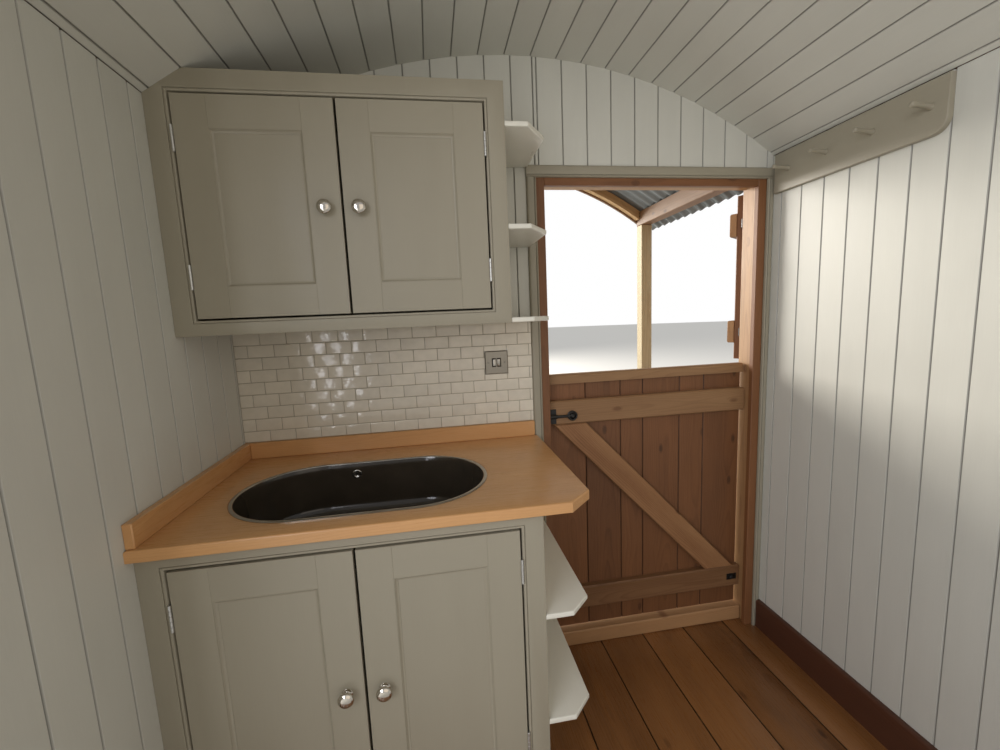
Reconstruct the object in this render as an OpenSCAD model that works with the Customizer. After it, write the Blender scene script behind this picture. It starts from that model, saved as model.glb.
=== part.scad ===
/* [Room] */
// Width between the side walls' linings
inside_width = 2030; // [1950:10:2440]
// Height of the side walls from the floor to the ceiling
wall_height = 1995; // [1850:5:2200]
// Rise of the arched ceiling from its foot to its crown
arch_rise = 315; // [250:5:400]
// Length of the room from the cut end to the end wall's lining
room_depth = 1200; // [1000:10:1800]
// Depth of the porch from the end wall to the back of its posts
porch_depth = 998; // [970:10:1400]
// Thickness of the lining boards
lining_t = 12; // [9:1:20]
// Depth of the wall studs
stud_depth = 70; // [45:1:95]
// Width of the wall studs
stud_width = 45; // [38:1:60]
// Thickness of the outside boards
cladding_t = 20; // [15:1:28]

/* [Floor] */
// Height of the long bearers under the floor
bearer_height = 70; // [50:5:150]
// Width of the long bearers
bearer_width = 75; // [60:5:120]
// Height of the joists under the room
joist_height = 70; // [60:5:120]
// Thickness of the room's floor boards
floor_t = 20; // [18:1:28]
// Thickness of the porch's deck boards
deck_t = 20; // [18:1:28]
// Step down from the room's floor to the deck
deck_step = 20; // [15:1:40]
// Clear gap between joists
joist_gap = 225; // [180:5:300]

/* [Roof] */
// Depth of the bent roof bows
bow_depth = 45; // [35:1:70]
// Width of the bent roof bows
bow_width = 45; // [35:1:70]
// Depth of the corrugations in the roof sheet
wave_depth = 15; // [10:1:22]
// Length of one corrugation
wave_pitch = 76; // [60:1:100]
// Thickness of the roof sheet
sheet_t = 3; // [2:0.5:4]
// Overhang of the roof sheet past the side walls
eaves_overhang = 60; // [30:5:90]
// Side of the square porch posts and of the long eaves beams
post_side = 70; // [60:5:100]
// Thickness of the arched fascia board
fascia_t = 20; // [15:1:30]

/* [Doorway] */
// Clear width between the door stops
opening_width = 868; // [720:1:950]
// Height of the doorway from the floor to the head's stop
opening_height = 1882; // [1750:1:1950]
// Face width of the left jamb
left_jamb = 32; // [28:1:60]
// Face width of the right jamb
right_jamb = 35; // [28:1:60]
// Height of the door head
head_height = 46; // [38:1:80]
// Step behind the stops, in which the leaves hang
rebate = 12; // [8:1:14]
// Depth of the stops
stop_depth = 22; // [15:1:30]
// Width of the painted trim left of the door
left_trim = 36; // [25:1:60]
// Width of the painted trim right of the door
right_trim = 27; // [20:1:60]
// Height of the painted ledge over the door
top_trim = 42; // [25:1:60]
// Lap of the painted ledge over the door head
trim_lap = 20; // [0:1:30]
// Thickness of the painted trim
trim_t = 12; // [8:1:20]
// Height of the door sill over the floor
sill_height = 65; // [30:1:80]
// Distance from the end wall's face to the front of the door sill
sill_setback = 42; // [20:1:50]
// Height of the lower leaf's top over the floor
lower_leaf_top = 1178; // [1000:1:1250]
// Gap round the door leaves
leaf_gap = 8; // [6:1:12]
// Thickness of the door boards
leaf_board_t = 25; // [20:1:32]
// Thickness of the door ledges and brace
ledge_t = 28; // [20:1:35]
// Height of the lower leaf's ledges
ledge_height = 97; // [80:1:130]
// Height of the lower leaf's cap
cap_height = 38; // [20:1:45]
// Width of the lower leaf's brace along the ledges
brace_width = 137; // [100:1:160]
// Distance of the hinge pins past the edges of the leaves
pin_offset = 23; // [5:1:25]
// Chamfer on the ledges and the brace
ledge_chamfer = 5; // [2:1:8]
// Angle at which the upper leaf stands open
upper_leaf_angle = 145; // [110:1:160]

/* [Base unit] */
// Width of the base unit
base_width = 907; // [750:1:930]
// Depth from the end wall to the front of the base unit
base_depth = 606; // [540:1:670]
// Height of the worktop over the floor
worktop_height = 963; // [880:1:980]
// Thickness of the worktop
worktop_t = 28; // [22:1:40]
// Overhang of the worktop past the front of the base unit
worktop_overhang = 24; // [10:1:40]
// Overhang of the worktop past the open end shelves
end_overhang = 5; // [0:1:20]
// Size of the worktop's clipped corner
worktop_clip = 66; // [30:1:90]
// Height of the upstands over the worktop
upstand_height = 56; // [45:1:100]
// Thickness of the upstands
upstand_t = 20; // [15:1:28]
// Radius of the worktop's rounded edges
edge_round = 5; // [2:0.5:8]
// Height of the base unit's bottom rail over the floor
base_foot = 191; // [90:1:210]
// Height of the base unit's top rail
base_top_rail = 37; // [25:1:80]
// Height of the lower open end shelf over the floor
low_shelf_height = 357; // [250:1:450]
// Height of the upper open end shelf over the floor
high_shelf_height = 658; // [550:1:750]
// Size of these shelves' clipped corners
base_shelf_clip = 56; // [30:1:80]
// Height of the base unit's knobs over the floor
base_knob_height = 532; // [400:1:700]
// Distance from the base unit's ends to the rim of the sink
sink_margin = 107.5; // [80:0.5:160]
// Depth of the sink from front to back
sink_depth = 411; // [360:1:440]
// Distance from the worktop's front edge to the rim of the sink
sink_setback = 58; // [45:1:90]
// Depth of the sink bowl
bowl_depth = 165; // [120:1:190]
// Radius between the sink bowl's wall and its bottom
bowl_round = 45; // [25:1:60]
// Draft of the sink bowl's wall
bowl_draft = 12; // [5:1:20]
// Diameter of the dished ring round the sink's waste
waste_diameter = 90; // [70:1:110]

/* [Wall cupboard] */
// How much narrower the wall cupboard is than the base unit
cupboard_step = 7; // [0:1:60]
// Depth of the wall cupboard
cupboard_depth = 334; // [280:1:380]
// Height of the wall cupboard's underside over the floor
cupboard_bottom = 1398; // [1300:1:1450]
// Height of the wall cupboard
cupboard_height = 659; // [560:1:660]
// Height of the wall cupboard's knobs over the floor
wall_knob_height = 1722; // [1600:1:1900]
// Width of the open end shelves beside both units
end_shelf_width = 130; // [90:1:140]
// Thickness of the end shelves
end_shelf_t = 15; // [12:1:22]
// Thickness of the units' panels
panel_t = 18; // [12:1:22]
// Thickness of the cupboard doors and their face frames
door_t = 20; // [18:1:25]
// Width of the face frames' stiles
stile_width = 55; // [40:1:70]
// Gap round the cupboard doors
door_gap = 5; // [5:0.5:8]
// Gap between the two cupboard doors of a pair
meeting_gap = 6.5; // [6:0.5:10]
// Width of the cupboard doors' own frames
door_frame_width = 82; // [60:1:100]
// Distance of the hinges from the ends of the face frames' openings
hinge_inset = 112; // [60:1:150]
// Distance of the knobs from the middle between two doors
knob_spread = 44; // [35:1:60]
// Depth of the sunk panels in the cupboard doors
panel_sink = 7; // [4:1:10]
// Width of the moulding round the sunk panels
panel_mould = 9; // [5:1:14]
// Diameter of the round knobs
knob_diameter = 38; // [30:1:42]
// How far the knobs stand out
knob_length = 30; // [26:1:36]

/* [Fittings] */
// Thickness of the tiled splashback
tile_t = 8; // [6:1:12]
// Side of the square socket plate
socket_side = 86; // [80:1:90]
// Bevel round the socket plate
socket_bevel = 3; // [1:0.5:4]
// Height of the skirting
skirting_height = 125; // [80:1:150]
// Thickness of the skirting and the peg rail
rail_t = 18; // [12:1:22]
// Height of the peg rail's lower edge over the floor
rail_bottom = 1845; // [1700:5:1850]
// Height of the peg rail
rail_height = 143; // [90:1:145]
// Length of the peg rail
rail_length = 575; // [450:5:700]
// Spacing of the pegs
peg_spacing = 156; // [130:1:180]
// Length of the pegs
peg_length = 66; // [50:1:90]
// Diameter of the pegs
peg_diameter = 15; // [12:1:20]
// Radius of the rail's lower corner at its near end
rail_corner = 40; // [10:1:60]

/* [Hidden] */
$fn = 64;
hair = 0.3;
half = inside_width / 2;
joist_top = bearer_height + joist_height;
floor_top = joist_top + floor_t;
deck_top = floor_top - deck_step;
arch_r = (half * half + arch_rise * arch_rise) / (2 * arch_rise);
arch_z = floor_top + wall_height + arch_rise - arch_r;
bow_r = arch_r + lining_t;
roof_r = bow_r + bow_depth;
stud_in = half + lining_t;
stud_out = stud_in + stud_depth;
wall_out = stud_out + cladding_t;
end_stud = lining_t + stud_depth;
end_out = end_stud + cladding_t;
post_y = end_out + porch_depth;
front_y = post_y + post_side;
fascia_y = front_y + fascia_t;
eaves_z = arch_z + sqrt(bow_r * bow_r - pow(stud_in + post_side, 2)) + 20;
open_r = half - right_trim - right_jamb;
open_l = open_r - opening_width;
jamb_l = open_l - left_jamb;
trim_l = jamb_l - left_trim;
open_top = floor_top + opening_height;
head_top = open_top + head_height;
trim_low = head_top - trim_lap;
trim_top = trim_low + top_trim;
sill_top = floor_top + sill_height;
frame_l = open_l - rebate;
frame_r = open_r + rebate;
eye_r = 9;
strap_t = 4;
leaf_l = frame_l + leaf_gap;
leaf_r = frame_r - leaf_gap;
leaf_bottom = sill_top + 8;
leaf_top = floor_top + lower_leaf_top;
upper_bottom = leaf_top + 10;
upper_top = open_top + rebate - leaf_gap;
ledge_lo = leaf_bottom + 90;
ledge_hi = leaf_top - 201;
lower_bands = [ledge_lo + ledge_height / 2, ledge_hi + ledge_height / 2];
upper_bands = [upper_bottom + 120, upper_top - 120];
leaf_in = end_out - leaf_board_t;
ledge_in = leaf_in - ledge_t;
pin_x = leaf_r + pin_offset;
pin_y = end_out + eye_r + 1;
pin_r = 5;
base_l = -half + hair;
base_r = -half + base_width;
base_front = -base_depth;
top_z = floor_top + worktop_height;
shelf_r = base_r + end_shelf_width;
cup_l = -half + hair;
cup_r = base_r - cupboard_step;
cup_front = -cupboard_depth;
cup_z = floor_top + cupboard_bottom;
cup_top = cup_z + cupboard_height;
base_lo = floor_top + base_foot;
base_hi = top_z - worktop_t - base_top_rail;
top_r = shelf_r + end_overhang;
tile_r = min(trim_l, top_r) - hair;
pin_out = 3;
cup_lo = cup_z + 40;
cup_hi = cup_top - 54;
sink_width = base_width - 2 * sink_margin;
sink_x = -half + base_width / 2;
sink_y = base_front - worktop_overhang + sink_setback + sink_depth / 2;
roof_back = -room_depth;
roof_front = fascia_y + 30;
waves = round((roof_front - roof_back) / wave_pitch);
barrel_r = 3.5;

// A box from its lowest corner to its highest corner
module span(x0, x1, y0, y1, z0, z1)
{
    translate([x0, y0, z0])
        cube([x1 - x0, y1 - y0, z1 - z0]);
}

// A plate across the hut, drawn as seen from the room, standing from y0 to y1
module across(y0, y1)
{
    translate([0, y1, 0])
        rotate([90, 0, 0])
            linear_extrude(height = y1 - y0)
                children();
}

// The outline of everything under a roof radius, out to a half width
module under_arch(r, x0, x1, z0)
{
    intersection()
    {
        translate([0, arch_z])
            circle(r = r, $fn = 180);
        translate([x0, z0])
            square([x1 - x0, 4 * arch_r]);
    }
}

// The outline of an arched strip between two radii, out to a half width
module arch_strip(r0, r1, reach)
{
    difference()
    {
        under_arch(r1, -reach, reach, arch_z);
        translate([0, arch_z])
            circle(r = r0, $fn = 180);
    }
}

// Both sides of the hut alike
module both_sides()
{
    children();
    mirror([1, 0, 0])
        children();
}

module floor_bearers()
{
    color("saddlebrown")
        for (x = [-stud_out + bearer_width / 2, 0, stud_out - bearer_width / 2])
            span(x - bearer_width / 2, x + bearer_width / 2,
                 -room_depth, front_y, 0, bearer_height);
}

module floor_joists()
{
    room_n = ceil((room_depth + end_stud) / (joist_gap + stud_width));
    room_step = (room_depth + end_stud - stud_width) / room_n;
    porch_n = ceil((front_y - end_out) / (joist_gap + stud_width));
    porch_step = (front_y - end_out - stud_width) / porch_n;
    color("peru")
    {
        for (i = [0:room_n])
            span(-stud_out, stud_out, -room_depth + i * room_step,
                 -room_depth + i * room_step + stud_width,
                 bearer_height, joist_top);
        for (i = [0:porch_n])
            span(-stud_out, stud_out, end_out + i * porch_step,
                 end_out + i * porch_step + stud_width,
                 bearer_height, deck_top - deck_t);
    }
}

module floor_boards()
{
    color("sienna")
    {
        span(-stud_in, stud_in, -room_depth, lining_t, joist_top, floor_top);
        span(jamb_l, half - right_trim, 0, end_out, joist_top, floor_top);
    }
}

module porch_deck()
{
    color("sienna")
        span(-stud_out, stud_out, end_out, fascia_y, deck_top - deck_t, deck_top);
}

module side_wall_frames()
{
    studs = 4;
    step = (room_depth + end_stud - stud_width) / (studs - 1);
    color("burlywood")
        both_sides()
        {
            span(stud_in, stud_out, -room_depth, end_stud, joist_top,
                 joist_top + stud_width);
            span(stud_in, stud_out, -room_depth, end_stud,
                 eaves_z - stud_width, eaves_z);
            for (i = [0:studs - 1])
                span(stud_in, stud_out, -room_depth + i * step,
                     -room_depth + i * step + stud_width,
                     joist_top, eaves_z);
        }
}

module end_wall_frame()
{
    left_gap = (jamb_l + stud_in - 4 * stud_width) / 3;
    color("burlywood")
        across(lining_t, end_stud)
            difference()
            {
                under_arch(roof_r, -stud_in, stud_in, joist_top);
                for (i = [0:2])
                    translate([-stud_in + stud_width
                               + i * (left_gap + stud_width), 0])
                        intersection()
                        {
                            translate([0, joist_top + stud_width])
                                square([left_gap, 4 * arch_r]);
                            translate([-(-stud_in + stud_width
                                         + i * (left_gap + stud_width)), arch_z])
                                circle(r = roof_r - 90, $fn = 180);
                        }
                translate([jamb_l, 0])
                    square([half - right_trim - jamb_l, head_top]);
                intersection()
                {
                    translate([jamb_l, head_top + stud_width])
                        square([stud_in - stud_width - jamb_l, 4 * arch_r]);
                    translate([0, arch_z])
                        circle(r = roof_r - 90, $fn = 180);
                }
            }
}

module side_wall_linings()
{
    color("gainsboro")
        both_sides()
            across(-room_depth, lining_t)
                under_arch(arch_r - hair, half, stud_in, floor_top);
}

module end_wall_linings()
{
    color("gainsboro")
        across(0, lining_t)
        {
            under_arch(bow_r, -half, jamb_l - hair, floor_top);
            under_arch(bow_r, jamb_l, half, head_top);
        }
}

module side_wall_cladding()
{
    color("peru")
        both_sides()
            span(stud_out, wall_out, -room_depth, end_out, 60,
                 arch_z + sqrt(roof_r * roof_r - wall_out * wall_out) - 2);
}

module end_wall_cladding()
{
    color("peru")
        across(end_stud, end_out)
        {
            difference()
            {
                union()
                {
                    under_arch(roof_r, -stud_out, jamb_l - hair, joist_top);
                    under_arch(roof_r, jamb_l, stud_out, head_top);
                }
                for (side = [0, 1])
                    mirror([side, 0])
                        translate([stud_in, eaves_z])
                            square([post_side + 1, 4 * arch_r]);
            }
            translate([half - right_trim + hair, joist_top])
                square([stud_out - half + right_trim - hair,
                        head_top - joist_top - hair]);
        }
}

module ceiling_lining()
{
    color("gainsboro")
        across(-room_depth, 0)
            arch_strip(arch_r, bow_r, stud_in);
}

module roof_bows()
{
    color("burlywood")
        for (y = [-room_depth, (-room_depth - bow_width) / 2, -bow_width,
                  end_out, post_y + post_side - bow_width])
            across(y, y + bow_width)
                arch_strip(bow_r, roof_r, stud_in);
}

// The corrugated edge line from the cut end to the front, as radius and place
function wave_line(r, n) =
    [for (i = [0:n])
        [r + wave_depth / 2 * (1 - cos(360 * waves * i / n)),
         roof_back + (roof_front - roof_back) * i / n]];

// The sheet is the wave turned round the middle line of the arch
module roof_sheet()
{
    n = 6 * waves;
    under = wave_line(roof_r + hair, n);
    over = wave_line(roof_r + hair + sheet_t, n);
    reach = wall_out + eaves_overhang;
    color("dimgray")
        intersection()
        {
            translate([0, 0, arch_z])
                rotate([-90, 0, 0])
                    rotate_extrude($fn = 180)
                        polygon(concat(under, [for (i = [n:-1:0]) over[i]]));
            span(-reach, reach, roof_back - 1, roof_front + 1,
                 arch_z + 100, arch_z + 2 * arch_r);
        }
}

module eaves_beams()
{
    color("burlywood")
        both_sides()
            across(-room_depth, front_y)
                under_arch(roof_r, stud_in, stud_in + post_side, eaves_z);
}

module porch_posts()
{
    color("khaki")
        both_sides()
            span(stud_in, stud_in + post_side, post_y, front_y,
                 deck_top, eaves_z);
}

module porch_fascia()
{
    color("lightgray")
        across(front_y, fascia_y)
            arch_strip(bow_r - 8, roof_r, stud_in + post_side);
}

// Jambs and head with stops on the room side, and the sill set back behind them
module door_frame()
{
    color("sienna")
    {
        difference()
        {
            span(jamb_l, half - right_trim, 0, end_out, floor_top, head_top);
            span(open_l, open_r, -1, end_out, floor_top - 1, open_top);
            span(frame_l, frame_r, stop_depth, end_out + 1, floor_top - 1,
                 open_top + rebate);
        }
        span(frame_l, frame_r, sill_setback, end_out, floor_top, sill_top);
    }
}

module door_trim()
{
    color("darkkhaki")
        across(-trim_t, 0)
            difference()
            {
                translate([trim_l, floor_top])
                    square([half - trim_l, trim_top - floor_top]);
                translate([jamb_l, floor_top - 1])
                    square([half - right_trim - jamb_l,
                            trim_low - floor_top + 1]);
            }
}

// A ledged leaf's boards
module leaf_boards(z0, z1)
{
    span(leaf_l, leaf_r, leaf_in, end_out, z0, z1);
}

// A band over the leaf, cranked off the frame, that ends in an eye on the pin line
module band(z)
{
    difference()
    {
        union()
        {
            span(leaf_r - 330, leaf_r, end_out, end_out + strap_t,
                 z - 18, z + 18);
            span(leaf_r - strap_t, pin_x, pin_y - eye_r,
                 pin_y - eye_r + strap_t, z - 18, z + 18);
            translate([pin_x, pin_y, z - 18])
                cylinder(h = 36, r = eye_r);
        }
        translate([pin_x, pin_y, z - 20])
            cylinder(h = 40, r = pin_r + 0.2);
    }
}

// A hook on the jamb whose upright pin carries a band's eye
module hook(z)
{
    span(pin_x + eye_r + 3, pin_x + eye_r + 33, end_out, end_out + strap_t,
         z - 36, z + 24);
    span(pin_x - 3, pin_x + eye_r + 4, end_out, pin_y + pin_r,
         z - 32, z - 18 - hair);
    translate([pin_x, pin_y, z - 32])
        cylinder(h = 54, r = pin_r);
}

// Turns the upper leaf and its bands to where they stand open
module stand_open()
{
    translate([pin_x, pin_y, 0])
        rotate([0, 0, -upper_leaf_angle])
            translate([-pin_x, -pin_y, 0])
                children();
}

module lower_door_boards()
{
    color("sienna")
        leaf_boards(leaf_bottom, leaf_top - cap_height);
}

// A ledge with its room edges chamfered
module ledge(z)
{
    c = ledge_chamfer;
    translate([leaf_l, 0, 0])
        rotate([90, 0, 90])
            linear_extrude(height = leaf_r - leaf_l)
                polygon([[leaf_in, z], [ledge_in + c, z], [ledge_in, z + c],
                         [ledge_in, z + ledge_height - c],
                         [ledge_in + c, z + ledge_height],
                         [leaf_in, z + ledge_height]]);
}

module lower_door_ledges()
{
    r = cap_height / 4;
    color("peru")
    {
        for (z = [ledge_lo, ledge_hi])
            ledge(z);
        across(ledge_in, leaf_in)
            polygon([[leaf_l + 30, ledge_hi],
                     [leaf_l + 30 + brace_width, ledge_hi],
                     [leaf_r - 30, ledge_lo + ledge_height],
                     [leaf_r - 30 - brace_width, ledge_lo + ledge_height]]);
        translate([leaf_l, 0, 0])
            rotate([90, 0, 90])
                linear_extrude(height = leaf_r - leaf_l)
                {
                    translate([leaf_in - 16, leaf_top - cap_height])
                        square([leaf_board_t + 16, cap_height - r]);
                    translate([leaf_in - 16 + r, leaf_top - cap_height])
                        square([leaf_board_t + 16 - 2 * r, cap_height]);
                    for (y = [leaf_in - 16 + r, end_out - r])
                        translate([y, leaf_top - r])
                            circle(r = r);
                }
    }
}

module lower_door_irons()
{
    color("black")
    {
        for (z = lower_bands)
            band(z);
        thumb_latch(leaf_l + 6, ledge_in, ledge_hi + 35);
    }
}

// The black latch on the upper ledge: a plate, a bar and a ring
module thumb_latch(x, y, z)
{
    span(x, x + 34, y - 3, y, z - 30, z + 30);
    span(x + 8, x + 100, y - 10, y - 2, z - 7, z + 7);
    translate([x + 100, y, z])
        rotate([90, 0, 0])
        {
            cylinder(h = 4, r = 20);
            cylinder(h = 14, r = 7);
            translate([0, 0, 9])
                rotate_extrude()
                    translate([17, 0])
                        circle(r = 3.5, $fn = 32);
            translate([0, 0, 9])
                span(-17, 17, -3, 3, -2, 2);
        }
}

module upper_door_leaf()
{
    color("sienna")
        stand_open()
        {
            leaf_boards(upper_bottom, upper_top);
            for (z = upper_bands)
                ledge(z - ledge_height / 2);
        }
}

module upper_door_irons()
{
    color("black")
        stand_open()
            for (z = upper_bands)
                band(z);
}

module door_hooks()
{
    color("black")
        for (z = concat(lower_bands, upper_bands))
            hook(z);
}

module base_carcass()
{
    color("ivory")
    {
        span(base_l, base_l + panel_t, base_front + door_t, -hair,
             floor_top, top_z - worktop_t);
        span(base_r - panel_t, base_r, base_front + door_t, -hair,
             floor_top, top_z - worktop_t);
        span(base_l, base_r, base_front + door_t, -hair,
             base_lo - panel_t, base_lo);
        span(base_l, base_r, -9, -hair, floor_top, top_z - worktop_t);
    }
}

// A face frame with one opening for a pair of doors
module face_frame(x0, x1, z0, z1, front, lo, hi)
{
    across(front, front + door_t - hair)
        difference()
        {
            translate([x0, z0])
                square([x1 - x0, z1 - z0]);
            translate([x0 + stile_width, lo])
                square([x1 - x0 - 2 * stile_width, hi - lo]);
        }
}

// One framed cupboard door with a sunk panel
module framed_door(x0, x1, z0, z1, front)
{
    difference()
    {
        span(x0, x1, front, front + door_t, z0, z1);
        span(x0 + door_frame_width, x1 - door_frame_width,
             front - 1, front + panel_sink,
             z0 + door_frame_width, z1 - door_frame_width);
    }
    panel_moulding(x0 + door_frame_width, x1 - door_frame_width,
                   z0 + door_frame_width, z1 - door_frame_width, front);
}

// A sloping moulding inside the frame of a sunk panel, mitred at its corners
module panel_moulding(x0, x1, z0, z1, front)
{
    slope = [[0, 1.5], [0, panel_sink + 1], [panel_mould, panel_sink + 1],
             [panel_mould, panel_sink - 1]];
    for (side = [0, 1])
    {
        translate([side * (x0 + x1), front, 0])
            mirror([side, 0, 0])
                translate([x0, 0, z0])
                    linear_extrude(height = z1 - z0)
                        polygon(slope);
        translate([x0, front, side * (z0 + z1)])
            mirror([0, 0, side])
                translate([0, 0, z0])
                    rotate([90, 0, 90])
                        linear_extrude(height = x1 - x0)
                            polygon([for (q = slope) [q[1], q[0]]]);
    }
}

// A round knob on a stem, standing off a front face
module knob(x, front, z)
{
    translate([x, front, z])
        rotate([90, 0, 0])
        {
            cylinder(h = 2.5, r = knob_diameter * 0.34);
            cylinder(h = knob_length - 10, r = knob_diameter * 0.2);
            rotate_extrude($fn = 96)
                intersection()
                {
                    union()
                    {
                        translate([knob_diameter / 2 - 5, knob_length - 9])
                            circle(r = 5);
                        translate([0, knob_length - 14])
                            square([knob_diameter / 2 - 5, 10]);
                        intersection()
                        {
                            translate([0, knob_length - 30])
                                circle(r = 30);
                            translate([0, knob_length - 8])
                                square([knob_diameter / 2 - 5, 20]);
                        }
                    }
                    square([knob_diameter, knob_length + 1]);
                }
        }
}

module base_face_frame()
{
    color("darkkhaki")
        face_frame(base_l, base_r, floor_top, top_z - worktop_t, base_front,
                   base_lo, base_hi);
}

module base_left_door()
{
    mid = (base_l + base_r) / 2;
    color("darkkhaki")
        framed_door(base_l + stile_width + door_gap, mid - meeting_gap / 2,
                    base_lo + door_gap, base_hi - door_gap, base_front);
}

module base_right_door()
{
    mid = (base_l + base_r) / 2;
    color("darkkhaki")
        framed_door(mid + meeting_gap / 2, base_r - stile_width - door_gap,
                    base_lo + door_gap, base_hi - door_gap, base_front);
}

module base_left_knob()
{
    color("silver")
        knob((base_l + base_r) / 2 - knob_spread, base_front,
             floor_top + base_knob_height);
}

module base_right_knob()
{
    color("silver")
        knob((base_l + base_r) / 2 + knob_spread, base_front,
             floor_top + base_knob_height);
}

// A shelf with a clipped outer front corner, cut round the door trim
module clipped_shelf(x0, x1, front, clip_x, clip_y, z)
{
    translate([0, 0, z])
        linear_extrude(height = end_shelf_t)
            difference()
            {
                polygon([[x0, -hair], [x0, front], [x1 - clip_x, front],
                         [x1, front + clip_y], [x1, -hair]]);
                trim_notch();
            }
}

// The place of the left door trim, seen from above
module trim_notch()
{
    translate([trim_l - hair, -trim_t - hair])
        square([left_trim, trim_t + 1]);
}

module base_end_shelves()
{
    color("ivory")
        for (z = [low_shelf_height, high_shelf_height])
            clipped_shelf(base_r, shelf_r, base_front, base_shelf_clip,
                          base_shelf_clip,
                          floor_top + z - end_shelf_t);
}

// Rounds the upper edge of a slab along a line from a to b, the slab on its left
module round_edge(a, b, z)
{
    turn = atan2(b[1] - a[1], b[0] - a[0]);
    reach = norm(b - a);
    translate([a[0], a[1], z])
        rotate([0, 0, turn])
            rotate([90, 0, 90])
                translate([0, 0, -edge_round])
                    linear_extrude(height = reach + 2 * edge_round)
                        difference()
                        {
                            translate([-1, -edge_round])
                                square([edge_round + 1, edge_round + 1]);
                            translate([edge_round, -edge_round])
                                circle(r = edge_round);
                        }
}

module worktop()
{
    front = base_front - worktop_overhang;
    color("goldenrod")
    {
        difference()
        {
            translate([0, 0, top_z - worktop_t])
                linear_extrude(height = worktop_t)
                    difference()
                    {
                        polygon([[base_l, -hair], [base_l, front],
                                 [top_r - worktop_clip, front],
                                 [top_r, front + worktop_clip],
                                 [top_r, -hair]]);
                        trim_notch();
                        translate([sink_x, sink_y])
                            stadium(sink_width - 20, sink_depth - 20);
                    }
            round_edge([base_l - 10, front], [top_r - worktop_clip, front],
                       top_z);
        }
        span(base_l + upstand_t, tile_r, -upstand_t, -hair,
             top_z, top_z + upstand_height);
        span(base_l, base_l + upstand_t, front + edge_round + 1, -hair,
             top_z, top_z + upstand_height);
    }
}

// An outline with straight long sides and round ends
module stadium(w, d)
{
    translate([-(w - d) / 2, 0])
        circle(d = d);
    translate([(w - d) / 2, 0])
        circle(d = d);
    square([w - d, d], center = true);
}

// Half of the bowl's section, with its draft and its rounded bottom corner
module bowl_section(r, depth, round, draft)
{
    foot = r - draft;
    intersection()
    {
        union()
        {
            translate([foot - round, round - depth])
                circle(r = round);
            translate([0, -depth])
                square([foot - round, depth]);
            polygon([[0, round - depth], [foot, round - depth], [r, 0], [r, 12],
                     [0, 12]]);
        }
        translate([0, -depth - 1])
            square([r + 1, depth + 14]);
    }
}

// A bowl with straight sides and round ends
module bowl(w, d, depth, round, draft)
{
    for (side = [-1, 1])
        translate([side * (w - d) / 2, 0, 0])
            rotate_extrude($fn = 96)
                bowl_section(d / 2, depth, round, draft);
    for (side = [0, 1])
        mirror([0, side, 0])
            translate([-(w - d) / 2, 0, 0])
                rotate([90, 0, 90])
                    linear_extrude(height = w - d)
                        bowl_section(d / 2, depth, round, draft);
}

// The waste stands in the bowl's bottom, nearer its front
module sink_bowl()
{
    wall = 3;
    waste_y = -sink_depth * 0.16;
    color("dimgray")
        translate([sink_x, sink_y, top_z])
            difference()
            {
                union()
                {
                    linear_extrude(height = 3)
                        stadium(sink_width, sink_depth);
                    intersection()
                    {
                        bowl(sink_width - 22, sink_depth - 22, bowl_depth,
                             bowl_round + wall, bowl_draft);
                        translate([0, 0, -bowl_depth - 1])
                            linear_extrude(height = bowl_depth + 3)
                                stadium(sink_width, sink_depth);
                    }
                    translate([0, waste_y, -bowl_depth - 8])
                        cylinder(h = 12, d = waste_diameter + 8);
                }
                bowl(sink_width - 22 - 2 * wall, sink_depth - 22 - 2 * wall,
                     bowl_depth - wall, bowl_round, bowl_draft);
                translate([0, waste_y, -bowl_depth - 3])
                    cylinder(h = 12, d = waste_diameter);
            }
}

// Keeps what stands under the arched ceiling
module below_ceiling()
{
    intersection()
    {
        children();
        across(-room_depth, 0)
            under_arch(arch_r - hair, -half, half, floor_top);
    }
}

module wall_cupboard_carcass()
{
    color("darkkhaki")
        difference()
        {
            below_ceiling()
                span(cup_l, cup_r, cup_front + door_t, -hair, cup_z, cup_top);
            across(cup_front, -panel_t)
                intersection()
                {
                    translate([cup_l + panel_t, cup_z + panel_t])
                        square([cup_r - cup_l - 2 * panel_t,
                                cup_top - cup_z - 2 * panel_t]);
                    translate([0, arch_z])
                        circle(r = arch_r - panel_t, $fn = 180);
                }
        }
}

module wall_cupboard_face_frame()
{
    color("darkkhaki")
        below_ceiling()
            face_frame(cup_l, cup_r, cup_z, cup_top, cup_front, cup_lo, cup_hi);
}

module wall_left_door()
{
    mid = (cup_l + cup_r) / 2;
    color("darkkhaki")
        framed_door(cup_l + stile_width + door_gap, mid - meeting_gap / 2,
                    cup_lo + door_gap, cup_hi - door_gap, cup_front);
}

module wall_right_door()
{
    mid = (cup_l + cup_r) / 2;
    color("darkkhaki")
        framed_door(mid + meeting_gap / 2, cup_r - stile_width - door_gap,
                    cup_lo + door_gap, cup_hi - door_gap, cup_front);
}

module wall_left_knob()
{
    color("silver")
        knob((cup_l + cup_r) / 2 - knob_spread, cup_front,
             floor_top + wall_knob_height);
}

module wall_right_knob()
{
    color("silver")
        knob((cup_l + cup_r) / 2 + knob_spread, cup_front,
             floor_top + wall_knob_height);
}

module wall_end_shelves()
{
    color("ivory")
        for (z = [1413, 1679, 1955])
            clipped_shelf(cup_r, shelf_r, cup_front, 70, 95,
                          floor_top + z - end_shelf_t);
}

// Two butt hinges on one stile: side is 1 where the door lies to its right
module butt_hinges(x, side, front, lo, hi)
{
    for (z = [lo + hinge_inset, hi - hinge_inset])
    {
        translate([x + side * door_gap / 2, front - pin_out, z - 32])
            cylinder(h = 64, r = barrel_r);
        span(min(x, x + side * 1.5), max(x, x + side * 1.5),
             front - pin_out, front + door_t - 2, z - 32, z + 32);
    }
}

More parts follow.
